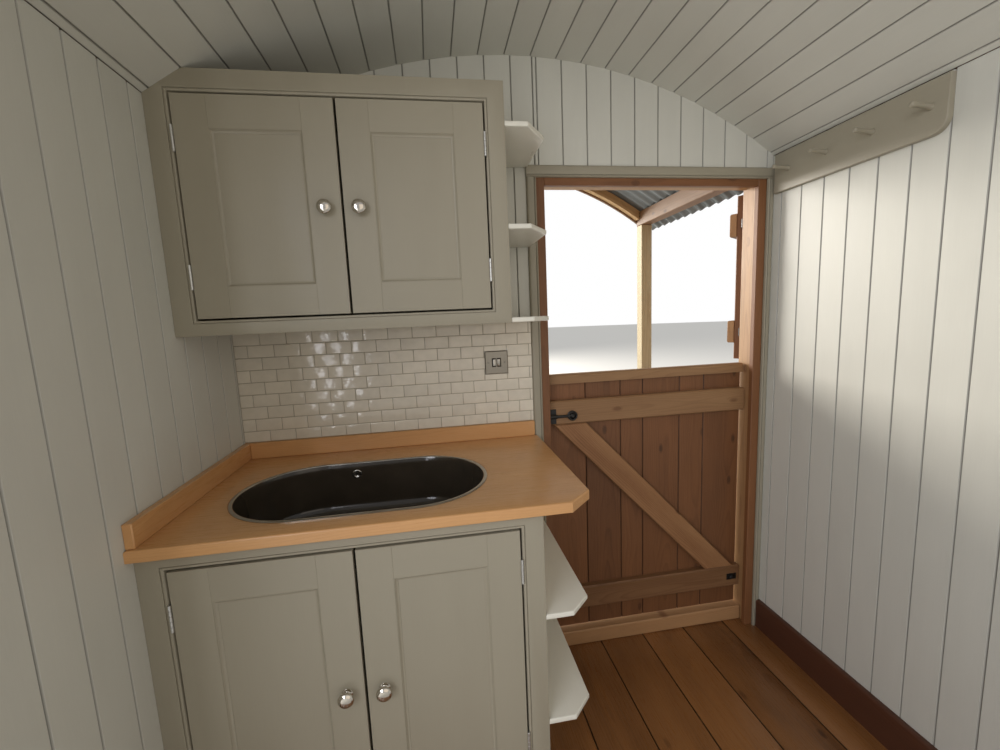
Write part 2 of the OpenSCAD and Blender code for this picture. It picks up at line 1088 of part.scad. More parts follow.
module cupboard_hinges()
{
    color("silver")
    {
        butt_hinges(base_l + stile_width, 1, base_front, base_lo, base_hi);
        butt_hinges(base_r - stile_width, -1, base_front, base_lo, base_hi);
        butt_hinges(cup_l + stile_width, 1, cup_front, cup_lo, cup_hi);
        butt_hinges(cup_r - stile_width, -1, cup_front, cup_lo, cup_hi);
    }
}

module tiled_splashback()
{
    color("whitesmoke")
        span(base_l, tile_r, -tile_t, -hair,
             top_z + upstand_height + hair, cup_z - hair);
}

// A square plate with bevelled edges and two small rockers
module socket_plate()
{
    plate_t = 7;
    s = socket_side / 2;
    c = socket_bevel;
    color("silver")
        translate([-half + 895, -tile_t, floor_top + 1250])
        {
            intersection()
            {
                translate([0, 0, -s])
                    linear_extrude(height = 2 * s)
                        polygon([[-s, 0], [-s, c - plate_t],
                                 [c - s, -plate_t], [s - c, -plate_t],
                                 [s, c - plate_t], [s, 0]]);
                translate([-s, 0, 0])
                    rotate([90, 0, 90])
                        linear_extrude(height = 2 * s)
                            polygon([[0, -s], [c - plate_t, -s],
                                     [-plate_t, c - s], [-plate_t, s - c],
                                     [c - plate_t, s], [0, s]]);
            }
            for (side = [-1, 1])
                translate([side * 8, -plate_t, 0])
                    rotate([side * 5, 0, 0])
                        span(-6, 6, -2, 4, -13, 13);
        }
}

// A turned peg: a collar, a slim waist and a round head
module peg()
{
    cylinder(h = 5, d = peg_diameter);
    cylinder(h = peg_length - 12, d1 = peg_diameter * 0.75,
             d2 = peg_diameter * 0.55);
    translate([0, 0, peg_length - 14])
        cylinder(h = 9, d1 = peg_diameter * 0.55, d2 = peg_diameter * 0.95);
    translate([0, 0, peg_length - peg_diameter * 0.475])
        sphere(d = peg_diameter * 0.95);
}

// The rail's lower corner is rounded at its near end
module peg_rail()
{
    near = -25 - rail_length;
    r = rail_corner;
    color("darkkhaki")
    {
        translate([half - rail_t, 0, floor_top + rail_bottom])
            rotate([90, 0, 90])
                linear_extrude(height = rail_t - hair)
                {
                    translate([near + r, 0])
                        square([rail_length - r, rail_height]);
                    translate([near, r])
                        square([r + 1, rail_height - r]);
                    translate([near + r, r])
                        circle(r = r);
                }
        for (i = [0:3])
            translate([half - rail_t + 1, -91 - i * peg_spacing,
                       floor_top + rail_bottom + 75])
                rotate([0, -86, 0])
                    peg();
    }
}

// A skirting board with its upper edge rounded
module skirting()
{
    r = rail_t / 2;
    color("saddlebrown")
        across(-room_depth, -trim_t - hair)
            translate([half - rail_t, floor_top])
            {
                square([rail_t - hair, skirting_height - r]);
                translate([r, 0])
                    square([rail_t - hair - r, skirting_height]);
                translate([r, skirting_height - r])
                    circle(r = r);
            }
}

floor_bearers();
floor_joists();
floor_boards();
porch_deck();
side_wall_frames();
end_wall_frame();
side_wall_linings();
end_wall_linings();
side_wall_cladding();
end_wall_cladding();
ceiling_lining();
roof_bows();
roof_sheet();
eaves_beams();
porch_posts();
porch_fascia();
door_frame();
door_trim();
lower_door_boards();
lower_door_ledges();
lower_door_irons();
upper_door_leaf();
upper_door_irons();
door_hooks();
base_carcass();
base_face_frame();
base_left_door();
base_left_knob();
base_right_door();
base_right_knob();
base_end_shelves();
worktop();
sink_bowl();
wall_cupboard_carcass();
wall_cupboard_face_frame();
wall_left_door();
wall_left_knob();
wall_right_door();
wall_right_knob();
wall_end_shelves();
cupboard_hinges();
tiled_splashback();
socket_plate();
peg_rail();
skirting();
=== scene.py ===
"""The door-end bay of a shepherds hut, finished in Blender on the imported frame."""

import math
import random
from functools import partial

import bmesh
import bpy
from mathutils import Matrix, Vector
from mathutils.geometry import tessellate_polygon


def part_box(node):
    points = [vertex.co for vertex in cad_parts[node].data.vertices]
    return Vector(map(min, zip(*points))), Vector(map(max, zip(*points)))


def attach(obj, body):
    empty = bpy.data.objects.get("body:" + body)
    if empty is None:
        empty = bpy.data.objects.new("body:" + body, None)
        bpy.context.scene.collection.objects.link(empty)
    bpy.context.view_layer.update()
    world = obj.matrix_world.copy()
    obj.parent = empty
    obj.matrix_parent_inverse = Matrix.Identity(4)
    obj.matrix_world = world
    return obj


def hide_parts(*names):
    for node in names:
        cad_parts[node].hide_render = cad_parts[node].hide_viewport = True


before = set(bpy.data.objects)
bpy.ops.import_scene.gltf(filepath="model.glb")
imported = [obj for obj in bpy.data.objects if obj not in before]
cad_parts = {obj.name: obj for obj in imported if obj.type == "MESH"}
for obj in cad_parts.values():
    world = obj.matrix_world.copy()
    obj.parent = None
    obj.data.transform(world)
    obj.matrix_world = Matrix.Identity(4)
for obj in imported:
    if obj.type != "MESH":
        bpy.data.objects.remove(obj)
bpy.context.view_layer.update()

bl_info = {
    "name": "Shepherds hut bay",
    "version": (1, 0, 0),
    "blender": (4, 5, 0),
    "location": "3D View > Sidebar > Hut",
    "description": "Builds the boards, joinery, tiles and irons of a hut's door-end bay",
    "category": "Object",
}

# Sizes of the frame, in metres, with X = 0 on the middle line, Y = 0 on the end
# wall's face and Z = 0 on the ground.
HALF, ROOM, WALL, RISE = 1.015, 1.200, 1.995, 0.315  # half width, length, height, arch
FLOOR, DECK, JOIST_TOP = 0.160, 0.140, 0.140
PORCH = 1.170
LINING, CLAD, STUD = 0.012, 0.020, 0.045  # thicknesses
ARCH_R = (HALF ** 2 + RISE ** 2) / (2 * RISE)
ARCH_Z = FLOOR + WALL + RISE - ARCH_R
BOW_R = ARCH_R + LINING
ROOF_R = BOW_R + 0.045
FRAMES_TOP = ROOF_R - 0.0005
STUD_IN = HALF + LINING
STUD_OUT = STUD_IN + 0.070
END_STUD, END_OUT = 0.082, 0.102  # outer faces of the end wall's studs and boards
OPEN_L, OPEN_R = 0.085, 0.953  # between the stops
FRAME_L, FRAME_R = 0.073, 0.965  # between the jambs
JAMB_L, JAMB_R = 0.053, 0.988  # over the jambs
STOP = 0.022
OPEN_TOP = FLOOR + 1.882
HEAD_TOP = OPEN_TOP + 0.046
TRIM_LOW = HEAD_TOP - 0.020
LEAF_L, LEAF_R = 0.081, 0.957
BOARD_IN = END_OUT - 0.025
LEDGE_IN = BOARD_IN - 0.028
LEDGE, LEDGE_DROP = 0.097, 0.201  # its height, and the upper one's foot below the cap
PIN_X, PIN_Y = LEAF_R + 0.023, END_OUT + 0.010
TOP_Z = FLOOR + 0.963
# The openings of the two units, their timber, and where they stop at wall and trim.
BASE_LOW, BASE_HIGH = FLOOR + 0.191, TOP_Z - 0.065
WALL_LOW, WALL_HIGH = FLOOR + 1.438, FLOOR + 2.003
CARCASS, STILE, SHELF = 0.018, 0.055, 0.015
FIT, TRIM_X, TRIM_Y = 0.0003, 0.0167, -0.0123
X, Y, Z = Vector((1, 0, 0)), Vector((0, 1, 0)), Vector((0, 0, 1))


def linear(code, alpha=None):
    """An sRGB hex colour as linear numbers, with alpha if it is given."""
    parts = [int(code[i:i + 2], 16) / 255 for i in (1, 3, 5)]
    parts = [p / 12.92 if p <= 0.04045 else ((p + 0.055) / 1.055) ** 2.4 for p in parts]
    return tuple(parts) + (() if alpha is None else (alpha,))


def length(name, description, default):
    """A size property in metres."""
    return bpy.props.FloatProperty(name=name, description=description, default=default,
                                   unit="LENGTH", precision=4)


def tint(name, description, code):
    """A colour property from its hex colour."""
    return bpy.props.FloatVectorProperty(name=name, description=description, size=3,
                                         default=linear(code), subtype="COLOR",
                                         min=0.0, max=1.0)


class HutSizes(bpy.types.PropertyGroup):
    """Sizes of boards, tiles and mouldings."""
    lining_cover: length("Lining board", "Cover width of the wall and ceiling boards", 0.092)
    lining_joint: length("Lining joint", "Chamfer at each side of a lining joint", 0.0027)
    floor_cover: length("Floor board", "Cover width of the floor boards", 0.193)
    deck_cover: length("Deck board", "Cover width of the deck boards", 0.122)
    clad_cover: length("Outside board", "Cover width of the outside boards", 0.122)
    leaf_joint: length("Leaf joint", "Chamfer at each side of a joint in the door leaf", 0.003)
    tile_long: length("Tile length", "Length of a tile with one joint", 0.085)
    tile_high: length("Tile height", "Height of a tile with one joint", 0.0425)
    grout: length("Grout", "Width of the grout between tiles", 0.0018)
    bead: length("Bead", "Width of the bead round the cupboard openings", 0.008)
    wave: length("Corrugation", "Depth of the roof sheet's waves", 0.015)


class HutColours(bpy.types.PropertyGroup):
    """Colours of paints, stains, glazes and metals."""
    wall: tint("Wall paint", "Eggshell paint on the wall and ceiling boards", "#CFCEC4")
    joinery: tint("Cupboard paint", "Eggshell paint on cupboards, trims and rail", "#9B9482")
    shelf: tint("Shelf paint", "Satin paint on the open shelves", "#E2DFD2")
    tile: tint("Tile glaze", "Glaze of the wall tiles", "#DFD7C6")
    grout: tint("Grout", "Grout between the wall tiles", "#A89F8E")
    sink: tint("Sink enamel", "Enamel of the sink bowl", "#3C352C")
    iron: tint("Iron", "Black finish of the door irons", "#171513")
    sheet: tint("Roof sheet", "Weathered face of the roof sheet", "#8D9394")


# Every timber has the colour of its early wood and that of its late wood.
for wood, use, pale, dark in (
        ("door", "boards of the leaves", "#8D5D38", "#4C2F1A"),
        ("ledge", "ledges, brace, cap and sill", "#C59A6C", "#875C39"),
        # The jambs' colours are lighter for painted daylight on the reveal.
        ("jamb", "jambs and head", "#C69B6A", "#855D3B"),
        ("floor", "floor and deck boards", "#9E6C3E", "#5A391F"),
        ("top", "worktop", "#DAA870", "#AF7A49"),
        ("skirting", "skirting", "#66402E", "#3E241A"),
        ("post", "porch posts", "#D0C29B", "#A58D66"),
        ("frame", "frames and bows", "#D8B98A", "#A57C4A"),
        ("outside", "outside boards", "#94704C", "#5C412C")):
    title = use.capitalize()
    HutColours.__annotations__[f"{wood}_pale"] = tint(
        f"{title}, pale", f"Early wood of the {use}", pale)
    HutColours.__annotations__[f"{wood}_dark"] = tint(
        f"{title}, dark", f"Late wood of the {use}", dark)


# Meshes

def inset(loop, amount):
    """The outline moved inwards by an amount, its corners mitred."""
    area = sum(a[0] * b[1] - b[0] * a[1] for a, b in zip(loop, loop[1:] + loop[:1]))
    turn = 1 if area > 0 else -1
    moved = []
    for i, here in enumerate(loop):
        before, after = loop[i - 1], loop[(i + 1) % len(loop)]
        u = Vector((here[0] - before[0], here[1] - before[1])).normalized()
        v = Vector((after[0] - here[0], after[1] - here[1])).normalized()
        normal = Vector((-u.y - v.y, u.x + v.x)) * turn / (1 + u.dot(v))
        moved.append((here[0] + normal.x * amount, here[1] + normal.y * amount))
    return moved


def rectangle(a0, a1, b0, b1):
    """An outline from a0 to a1 and from b0 to b1."""
    return [(a0, b0), (a1, b0), (a1, b1), (a0, b1)]


def arc(u, v, radius, start, end, steps):
    """Points of an arc about u, v, from one angle to another in quarter turns."""
    turns = [math.pi / 2 * (start + (end - start) * k / steps) for k in range(steps + 1)]
    return [(u + radius * math.cos(a), v + radius * math.sin(a)) for a in turns]


def circle(radius, count):
    """So many points round a circle about 0, 0."""
    return arc(0, 0, radius, 0, 4, count)[:-1]


def stadium(w, d, count=24):
    """An outline with straight long sides and round ends, about its middle."""
    reach = (w - d) / 2
    return arc(reach, 0, d / 2, -1, 1, count) + arc(-reach, 0, d / 2, 1, 3, count)


def facing(origin, u=X, v=Z):
    """The place of a flat piece by its origin and its u and v; the room side if unsaid."""
    turn = Matrix((u, v, u.cross(v))).transposed().to_4x4()
    return Matrix.Translation(origin) @ turn


def standing_out(place, turn=90):
    """The place of a turned shape on the end wall, to the room or at -90 outdoors."""
    return Matrix.Translation(place) @ Matrix.Rotation(math.radians(turn), 4, "X")


# The turns that stand a section's u and v across an axis.
ACROSS = {"x": facing((0, 0, 0), Y, Z), "y": facing((0, 0, 0), Z, X),
          "z": facing((0, 0, 0), X, Y)}


def arch_height(x, radius):
    """How high the arch of a radius stands over a place across the hut."""
    return ARCH_Z + math.sqrt(radius * radius - x * x)


def arch_point(radius, turn, y):
    """A point of the arch of a radius, by its angle from the crown."""
    return Vector((radius * math.sin(turn), y, ARCH_Z + radius * math.cos(turn)))


def joint_lines(origin, cover, low, high, least=0.012):
    """The places of board joints from low to high, with one joint on the origin."""
    first = math.ceil((low + least - origin) / cover)
    last = math.floor((high - least - origin) / cover)
    return [low] + [origin + k * cover for k in range(first, last + 1)] + [high]


def matched_section(a, b, depth, chamfer, ends, back, gap=0.0004):
    """A tongue and groove board's section: place, depth and how far in the joint it is."""
    middle = depth * 0.55
    low, high = (0.0 if end else 1.0 for end in ends)
    rear = [(b, depth, 0), (a, depth, 0)]
    if back:
        rear = [(b, depth - back, high), (b - back, depth, 0), (a + back, depth, 0),
                (a, depth - back, low)]
    return [(a + gap + chamfer, 0, 0), (b - gap - chamfer, 0, 0),
            (b - gap, chamfer, 0.7 * high), (b - gap, middle, high), (b, middle, high),
            *rear, (a, middle, low), (a + gap, middle, low), (a + gap, chamfer, 0.7 * low)]


def skin(start, rows, n):
    """The faces between rows of n points that follow one another round and round."""
    return [(start + i * n + j, start + i * n + (j + 1) % n,
             start + (i + 1) * n + (j + 1) % n, start + (i + 1) * n + j)
            for i in range(rows - 1) for j in range(n)]


class Piece:
    """One visible piece while it is made: its faces, and the grain and joints on them."""

    def __init__(self, name, stands_for, *finishes, place=None):
        self.name, self.stands_for, self.finishes = name, stands_for, finishes
        self.place, self.chance = place or Matrix(), random.Random(name)
        self.points, self.faces, self.used = [], [], []
        self.grain, self.tone, self.joint = [], [], []
        self.stock(Z, Y)

    def stock(self, along, face, finish=0):
        """Takes a fresh length: which way its grain runs, which way it faces, its finish."""
        along, face = along.normalized(), face.normalized()
        self.axes = Matrix((along, face.cross(along), face))
        pick = self.chance.uniform
        self.shift = Vector((pick(0, 40), pick(-0.05, 0.05), pick(0.035, 0.13)))
        self.shade, self.middle, self.finish = pick(0, 1), None, finish
        return self

    def add(self, points, faces, joint=None, grain=None):
        """Adds points and faces, with the length's grain and tone at every point."""
        start = len(self.points)
        if self.middle is None:
            self.middle = sum(points, Vector()) / len(points)
        for i, point in enumerate(points):
            laid = self.axes @ (point - self.middle) if grain is None else grain[i]
            self.points.append(self.place @ point)
            self.grain.append(laid + self.shift)
            self.tone.append(self.shade)
            self.joint.append(joint[i % len(joint)] if joint else 0.0)
        self.faces += [tuple(start + i for i in face) for face in faces]
        self.used += [self.finish] * len(faces)
        return self

    def loft(self, rings, joint=None, ends=True, bent=False):
        """Skins a row of rings; bent lets the grain follow the row."""
        rings = [[Vector(point) for point in ring] for ring in rings]
        n, grain = len(rings[0]), None
        faces = skin(0, len(rings), n)
        if ends:
            last = (len(rings) - 1) * n
            faces += [tuple(reversed(range(n))), tuple(last + j for j in range(n))]
        if bent:
            middle = sum(rings[0], Vector()) / n
            first = [self.axes @ (p - middle) for p in rings[0]]
            run, grain = 0.0, []
            for i, ring in enumerate(rings):
                run += (ring[0] - rings[i - 1][0]).length if i else 0.0
                grain += [Vector((run, p.y, p.z)) for p in first]
        return self.add([p for ring in rings for p in ring], faces, joint, grain)

    def slab(self, outline, low, high, place=Matrix(), holes=(), arris=0.001, steps=1,
             under=None, arris_dust_and_shade=0.0):
        """A flat piece cut to an outline, with holes and eased or rounded arrises that can be
        darkened with dust and painted shade.
        """
        under = arris if under is None else under
        turns = [math.pi / 2 * k / steps for k in range(steps + 1)]
        rows = [(under * (1 - math.sin(a)), low + under * (1 - math.cos(a))) for a in turns]
        rows += [(arris * (1 - math.sin(a)), high - arris * (1 - math.cos(a)))
                 for a in reversed(turns)]
        points, faces, joint, rims = [], [], [], ([], [])
        for loop, way in [(outline, 1)] + [(hole, -1) for hole in holes]:
            start, n = len(points), len(loop)
            for row, (amount, height) in enumerate(rows):
                flat = inset(loop, amount * way)
                points += [place @ Vector((*p, height)) for p in flat]
                outer = row in (0, len(rows) - 1)
                # The arris rows carry the darkening: dust and painted shade at the edges.
                joint += [0.0 if outer else arris_dust_and_shade] * n
                if outer:
                    rims[row > 0].append((start + row * n, flat))
            faces += skin(start, len(rows), n)
        for rim in rims:
            index = [begin + j for begin, flat in rim for j in range(len(flat))]
            if len(rim) == 1:
                faces.append(tuple(index))
                continue
            flats = [[Vector((*p, 0)) for p in flat] for _, flat in rim]
            faces += [tuple(index[i] for i in tri) for tri in tessellate_polygon(flats)]
        return self.add(points, faces, joint)

    def board(self, low, high, along, arris=0.001, finish=0, fresh=True, arris_dust_and_shade=0.0):
        """A length of timber from its lowest to its highest corner, all arrises eased."""
        u, v, w = {"x": (1, 2, 0), "y": (2, 0, 1), "z": (0, 1, 2)}[along]
        if fresh:
            thin = u if high[u] - low[u] < high[v] - low[v] else v
            self.stock((X, Y, Z)[w], (X, Y, Z)[thin], finish)
        c = min(arris, (high[u] - low[u]) / 3, (high[v] - low[v]) / 3)
        a0, a1, b0, b1 = low[u], high[u], low[v], high[v]
        outline = [(a0 + c, b0), (a1 - c, b0), (a1, b0 + c), (a1, b1 - c),
                   (a1 - c, b1), (a0 + c, b1), (a0, b1 - c), (a0, b0 + c)]
        return self.slab(outline, low[w], high[w], ACROSS[along], arris=c, arris_dust_and_shade=arris_dust_and_shade)

    def row(self, spans, low, high, along, arris, arris_dust_and_shade=0.0):
        """A row of boards as deep and long as a box, from one place in X to another."""
        for a, b in spans:
            self.board((a, low.y, low.z), (b, high.y, high.z), along, arris, arris_dust_and_shade=arris_dust_and_shade)
        return self

    def matched(self, lines, depth, chamfer, spot, along, face, bare=False, back=0.0):
        """Tongue and groove boards between joint lines, from spot(s, d, 0) to (s, d, 1)."""
        for a, b in zip(lines, lines[1:]):
            ends = (bare and a == lines[0], bare and b == lines[-1])
            section = matched_section(a, b, depth, chamfer, ends, back)
            self.stock(along, face((a + b) / 2) if callable(face) else face)
            self.loft([[spot(s, d, end) for s, d, _ in section] for end in (0, 1)],
                      joint=[deep for _, _, deep in section])
        return self

    def arched(self, inner, outer, y0, y1, reach, steps=48, ease=0.002):
        """A bent strip between two radii, as far out as a half width on both sides."""
        self.stock(X, Y)
        span = math.asin(reach / ((inner + outer) / 2))
        section = [(inner, y0 + ease), (inner + ease, y0), (outer - ease, y0),
                   (outer, y0 + ease), (outer, y1 - ease), (outer - ease, y1),
                   (inner + ease, y1), (inner, y1 - ease)]
        return self.loft([[arch_point(q, span * (2 * k / steps - 1), y) for q, y in section]
                          for k in range(steps + 1)], bent=True)

    def run(self, section, spot, ends):
        """Runs a section straight from one end to the other."""
        return self.loft([[spot(u, v, end) for u, v in section] for end in ends])

    def turned(self, profile, place, count=48):
        """A turned shape from a row of radius and height pairs."""
        return self.loft([[place @ Vector((*p, height))
                           for p in circle(max(radius, 0.00005), count)]
                          for radius, height in profile])

    def moulded(self, corners, section, place):
        """Runs a closed section of inset and height pairs round mitred corners."""
        return self.loft([[place @ Vector((*p, height)) for p in inset(corners, amount)]
                          for amount, height in section + section[:1]], ends=False)

    def done(self, slot, body="hut", smooth=32):
        """Makes the mesh, gives it its finishes and lets it ride on its body."""
        mesh = bpy.data.meshes.new(self.name)
        mesh.from_pydata(self.points, [], self.faces)
        mesh.polygons.foreach_set("material_index", self.used)
        mesh.polygons.foreach_set("use_smooth", [True] * len(self.faces))
        for name, kind, field, values in (
                ("grain", "FLOAT_VECTOR", "vector", [c for g in self.grain for c in g]),
                ("tone", "FLOAT", "value", self.tone),
                ("joint", "FLOAT", "value", self.joint)):
            mesh.attributes.new(name, kind, "POINT").data.foreach_set(field, values)
        work = bmesh.new()
        work.from_mesh(mesh)
        bmesh.ops.recalc_face_normals(work, faces=work.faces)
        work.to_mesh(mesh)
        work.free()
        mesh.set_sharp_from_angle(angle=math.radians(smooth))
        for name in self.finishes:
            mesh.materials.append(bpy.data.materials[name])
        thing = bpy.data.objects.new(self.name, mesh)
        bpy.context.scene.collection.objects.link(thing)
        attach(thing, body)
        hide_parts(self.stands_for)


def start(node_name, name, *finishes, place=None):
    """A new piece that stands for a CAD node, with that node's two corners."""
    return Piece(name, node_name, *finishes, place=place), *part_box(node_name)


# Finishes

def fill(made, sockets):
    """Gives a node's sockets their values, or links another node's output to them."""
    for key, value in sockets.items():
        if isinstance(value, bpy.types.Node):
            value = value.outputs[0]
        if isinstance(value, bpy.types.NodeSocket):
            made.id_data.links.new(value, made.inputs[key])
        else:
            made.inputs[key].default_value = value


def node(tree, kind, *values, at=None, **named):
    """Adds a node. Values and capital names fill its sockets, other names are settings."""
    kind, _, operation = kind.partition(".")
    made = tree.nodes.new("ShaderNode" + kind)
    if operation:
        made.operation = operation
    for name in [name for name in named if name.islower()]:
        setattr(made, name, named.pop(name))
    named = {name.replace("_", " "): value for name, value in named.items()}
    fill(made, {**dict(enumerate(values)), **(at or {}), **named})
    return made


def finish(name, **sockets):
    """A new material with values on its shader: what adds nodes to it, and its shader."""
    material = bpy.data.materials.new(name)
    material.use_nodes = True
    shader = material.node_tree.nodes["Principled BSDF"]
    fill(shader, {key.replace("_", " "): value for key, value in sockets.items()})
    return partial(node, material.node_tree), shader


def marks(n):
    """What a piece's mesh says of each point: its grain, its board's tone, its joint."""
    return [n("Attribute", attribute_name=name).outputs[output] for name, output in (
        ("grain", "Vector"), ("tone", "Fac"), ("joint", "Fac"))]


def stops(ramp, *pairs):
    """Sets a colour ramp's stops from place and linear colour pairs."""
    band = ramp.color_ramp
    while len(band.elements) < len(pairs):
        band.elements.new(0.5)
    for element, (place, colour) in zip(band.elements, pairs):
        element.position, element.color = place, tuple(colour[:3]) + (1,)
    return ramp


def mix_of(a, b, share):
    """A colour part of the way from one to another."""
    return tuple(p + (q - p) * share for p, q in zip(a, b))


def streaks(n, grain, waves, **how):
    """Noise with so many waves to the metre along, across and into the grain."""
    return n("TexNoise", Vector=n("VectorMath.MULTIPLY", grain, waves), Scale=1.0, **how)


def from_heart(n, grain, sway):
    """How far each point lies from the heart of its trunk, which sways as it grows."""
    drift = streaks(n, grain, (1.3, 6, 6), Detail=2.0)
    swayed = n("VectorMath.MULTIPLY_ADD", drift.outputs["Color"], (0, sway, sway), grain)
    flat = n("VectorMath.MULTIPLY", swayed, (0, 1, 1))
    return n("VectorMath.LENGTH", flat).outputs["Value"]


def lay_on(n, shader, colour, cloud, gloss, height, relief, strength):
    """Links colour, a gloss that follows a cloud from low to high, and relief."""
    fill(shader, {"Base Color": colour,
                  "Roughness": n("MapRange", Value=cloud, From_Min=0.3, From_Max=0.7,
                                 To_Min=gloss[0], To_Max=gloss[1]),
                  "Normal": n("Bump", Height=height, Distance=relief, Strength=strength)})


def timber(name, pale, dark, ring=0.0045, rough=0.55, relief=0.00025, knots=0.6,
           rings=0.25, fibres=0.40, patchy=0.35, spread=0.30, coat=0.0, seam_dust_and_shade=0.8):
    """Flat-sawn timber under stain or oil.

    The rings are those of a trunk whose heart lies a few centimetres behind the face,
    so they open into long arches; pores run along the grain at 1 mm, wider than the
    real 0.1 mm so that they show; the finish takes unevenly in soft patches.
    """
    n, shader = finish(name, Roughness=rough, Coat_Weight=coat, Coat_Roughness=0.25)
    grain, tone, joint = marks(n)
    far = from_heart(n, grain, 0.045)
    spot = n("TexVoronoi", Vector=n("VectorMath.MULTIPLY", grain, (3.6, 7.5, 0)), Scale=1.0,
             Randomness=1.0, voronoi_dimensions="2D")
    knot = n("MapRange", Value=spot, From_Min=0.03, From_Max=0.10, To_Min=1.0, To_Max=0.0,
             interpolation_type="SMOOTHSTEP")
    some = n("Math.GREATER_THAN", spot.outputs["Color"], 0.62)
    knot = n("Math.MULTIPLY", n("Math.MULTIPLY", knot, some), knots)
    bent = n("Math.ADD", far, n("Math.MULTIPLY", knot, 0.012))
    fibre = streaks(n, grain, (14, 900, 900), Detail=3.0, Roughness=0.65)
    ringed = n("Math.ADD", n("Math.MULTIPLY", bent, 1 / ring),
               n("Math.MULTIPLY", fibre, 0.25))
    late = stops(n("ValToRGB", Fac=n("Math.FRACT", ringed)), (0.0, (0.05,) * 3),
                 (0.55, (0.25,) * 3), (0.9, (1.0,) * 3), (1.0, (0.05,) * 3))
    patch = streaks(n, grain, (2.5, 14, 14), Detail=2.0)
    share = n("Math.MULTIPLY", late, rings)
    for part, amount in ((fibre, fibres), (patch, patchy), (tone, spread)):
        share = n("Math.ADD", share, n("Math.MULTIPLY", part, amount))
    share = n("Math.SUBTRACT", share, (fibres + patchy + spread) / 2 + rings / 3 - 0.38)
    share = n("Math.ADD", share, n("Math.MULTIPLY", knot, 0.7), use_clamp=True)
    ground = stops(n("ValToRGB", Fac=share), (0.0, pale), (0.5, mix_of(pale, dark, 0.55)),
                   (0.85, dark), (1.0, mix_of(dark, (0, 0, 0), 0.35)))
    # Joints and darkened arrises go near black: dust and painted shade between the boards.
    deep = n("Math.MULTIPLY", n("Math.POWER", joint, 0.5), seam_dust_and_shade)
    colour = n("Mix", deep, at={6: ground, 7: mix_of(dark, (0, 0, 0), 0.75) + (1,)},
               data_type="RGBA")
    height = n("Math.ADD", fibre, n("Math.MULTIPLY", late, -0.5))
    lay_on(n, shader, colour.outputs[2], fibre, (rough - 0.08, rough + 0.1), height, relief,
           0.7)


def painted(name, colour, rough, joint_dust_and_shade, spread=0.05):
    """Brushed paint on softwood.

    Brush marks run along each board at 2 mm, the wood's rings stand through the paint
    in low relief, and the joints go darker with dust and with painted shade.
    """
    n, shader = finish(name, Roughness=rough)
    grain, tone, joint = marks(n)
    brush = streaks(n, grain, (9, 420, 420), Detail=3.0, Roughness=0.6)
    rings = n("Math.SINE", n("Math.MULTIPLY", from_heart(n, grain, 0.05), 1 / 0.006))
    patch = streaks(n, grain, (3, 11, 11), Detail=3.0)
    bright = n("Math.ADD", n("Math.MULTIPLY", patch, 0.10), n("Math.MULTIPLY", tone, spread))
    bright = n("Math.ADD", bright, n("Math.MULTIPLY", brush, 0.05))
    bright = n("Math.ADD", bright, 1 - 0.075 - spread / 2)
    coat = n("VectorMath.MULTIPLY", tuple(colour), bright)
    # Dust and painted shade darken the joints towards a dark brown.
    deep = n("Math.MULTIPLY", n("Math.POWER", joint, 0.5), joint_dust_and_shade)
    dust_and_shade_coat = n("Mix", deep, at={6: coat, 7: linear("#372E20", 1)}, data_type="RGBA")
    height = n("Math.ADD", n("Math.MULTIPLY", brush, 0.5), n("Math.MULTIPLY", rings, 0.05))
    lay_on(n, shader, dust_and_shade_coat.outputs[2], patch, (rough - 0.05, rough + 0.08), height, 0.0002,
           0.8)


def surface(name, colour, rough, mark=0.06, size=60.0, relief=0.00005, streak=1.0,
            metal=0.0):
    """A hard even surface, such as metal, glaze or enamel.

    Handling leaves soft patches in the gloss, and the face is never quite flat, which
    breaks up what it mirrors.
    """
    n, shader = finish(name, Roughness=rough, Metallic=metal)
    grain, tone, _ = marks(n)
    cloud = streaks(n, grain, (size / streak, size, size), Detail=4.0)
    bright = n("MapRange", Value=cloud, From_Min=0.25, From_Max=0.75, To_Min=1 - mark,
               To_Max=1 + mark / 2)
    bright = n("Math.SUBTRACT", bright, n("Math.MULTIPLY", tone, mark))
    toned = n("VectorMath.MULTIPLY", tuple(colour), bright)
    lay_on(n, shader, toned, cloud, (rough * 0.8, rough * 1.25), cloud, relief, 1.0)


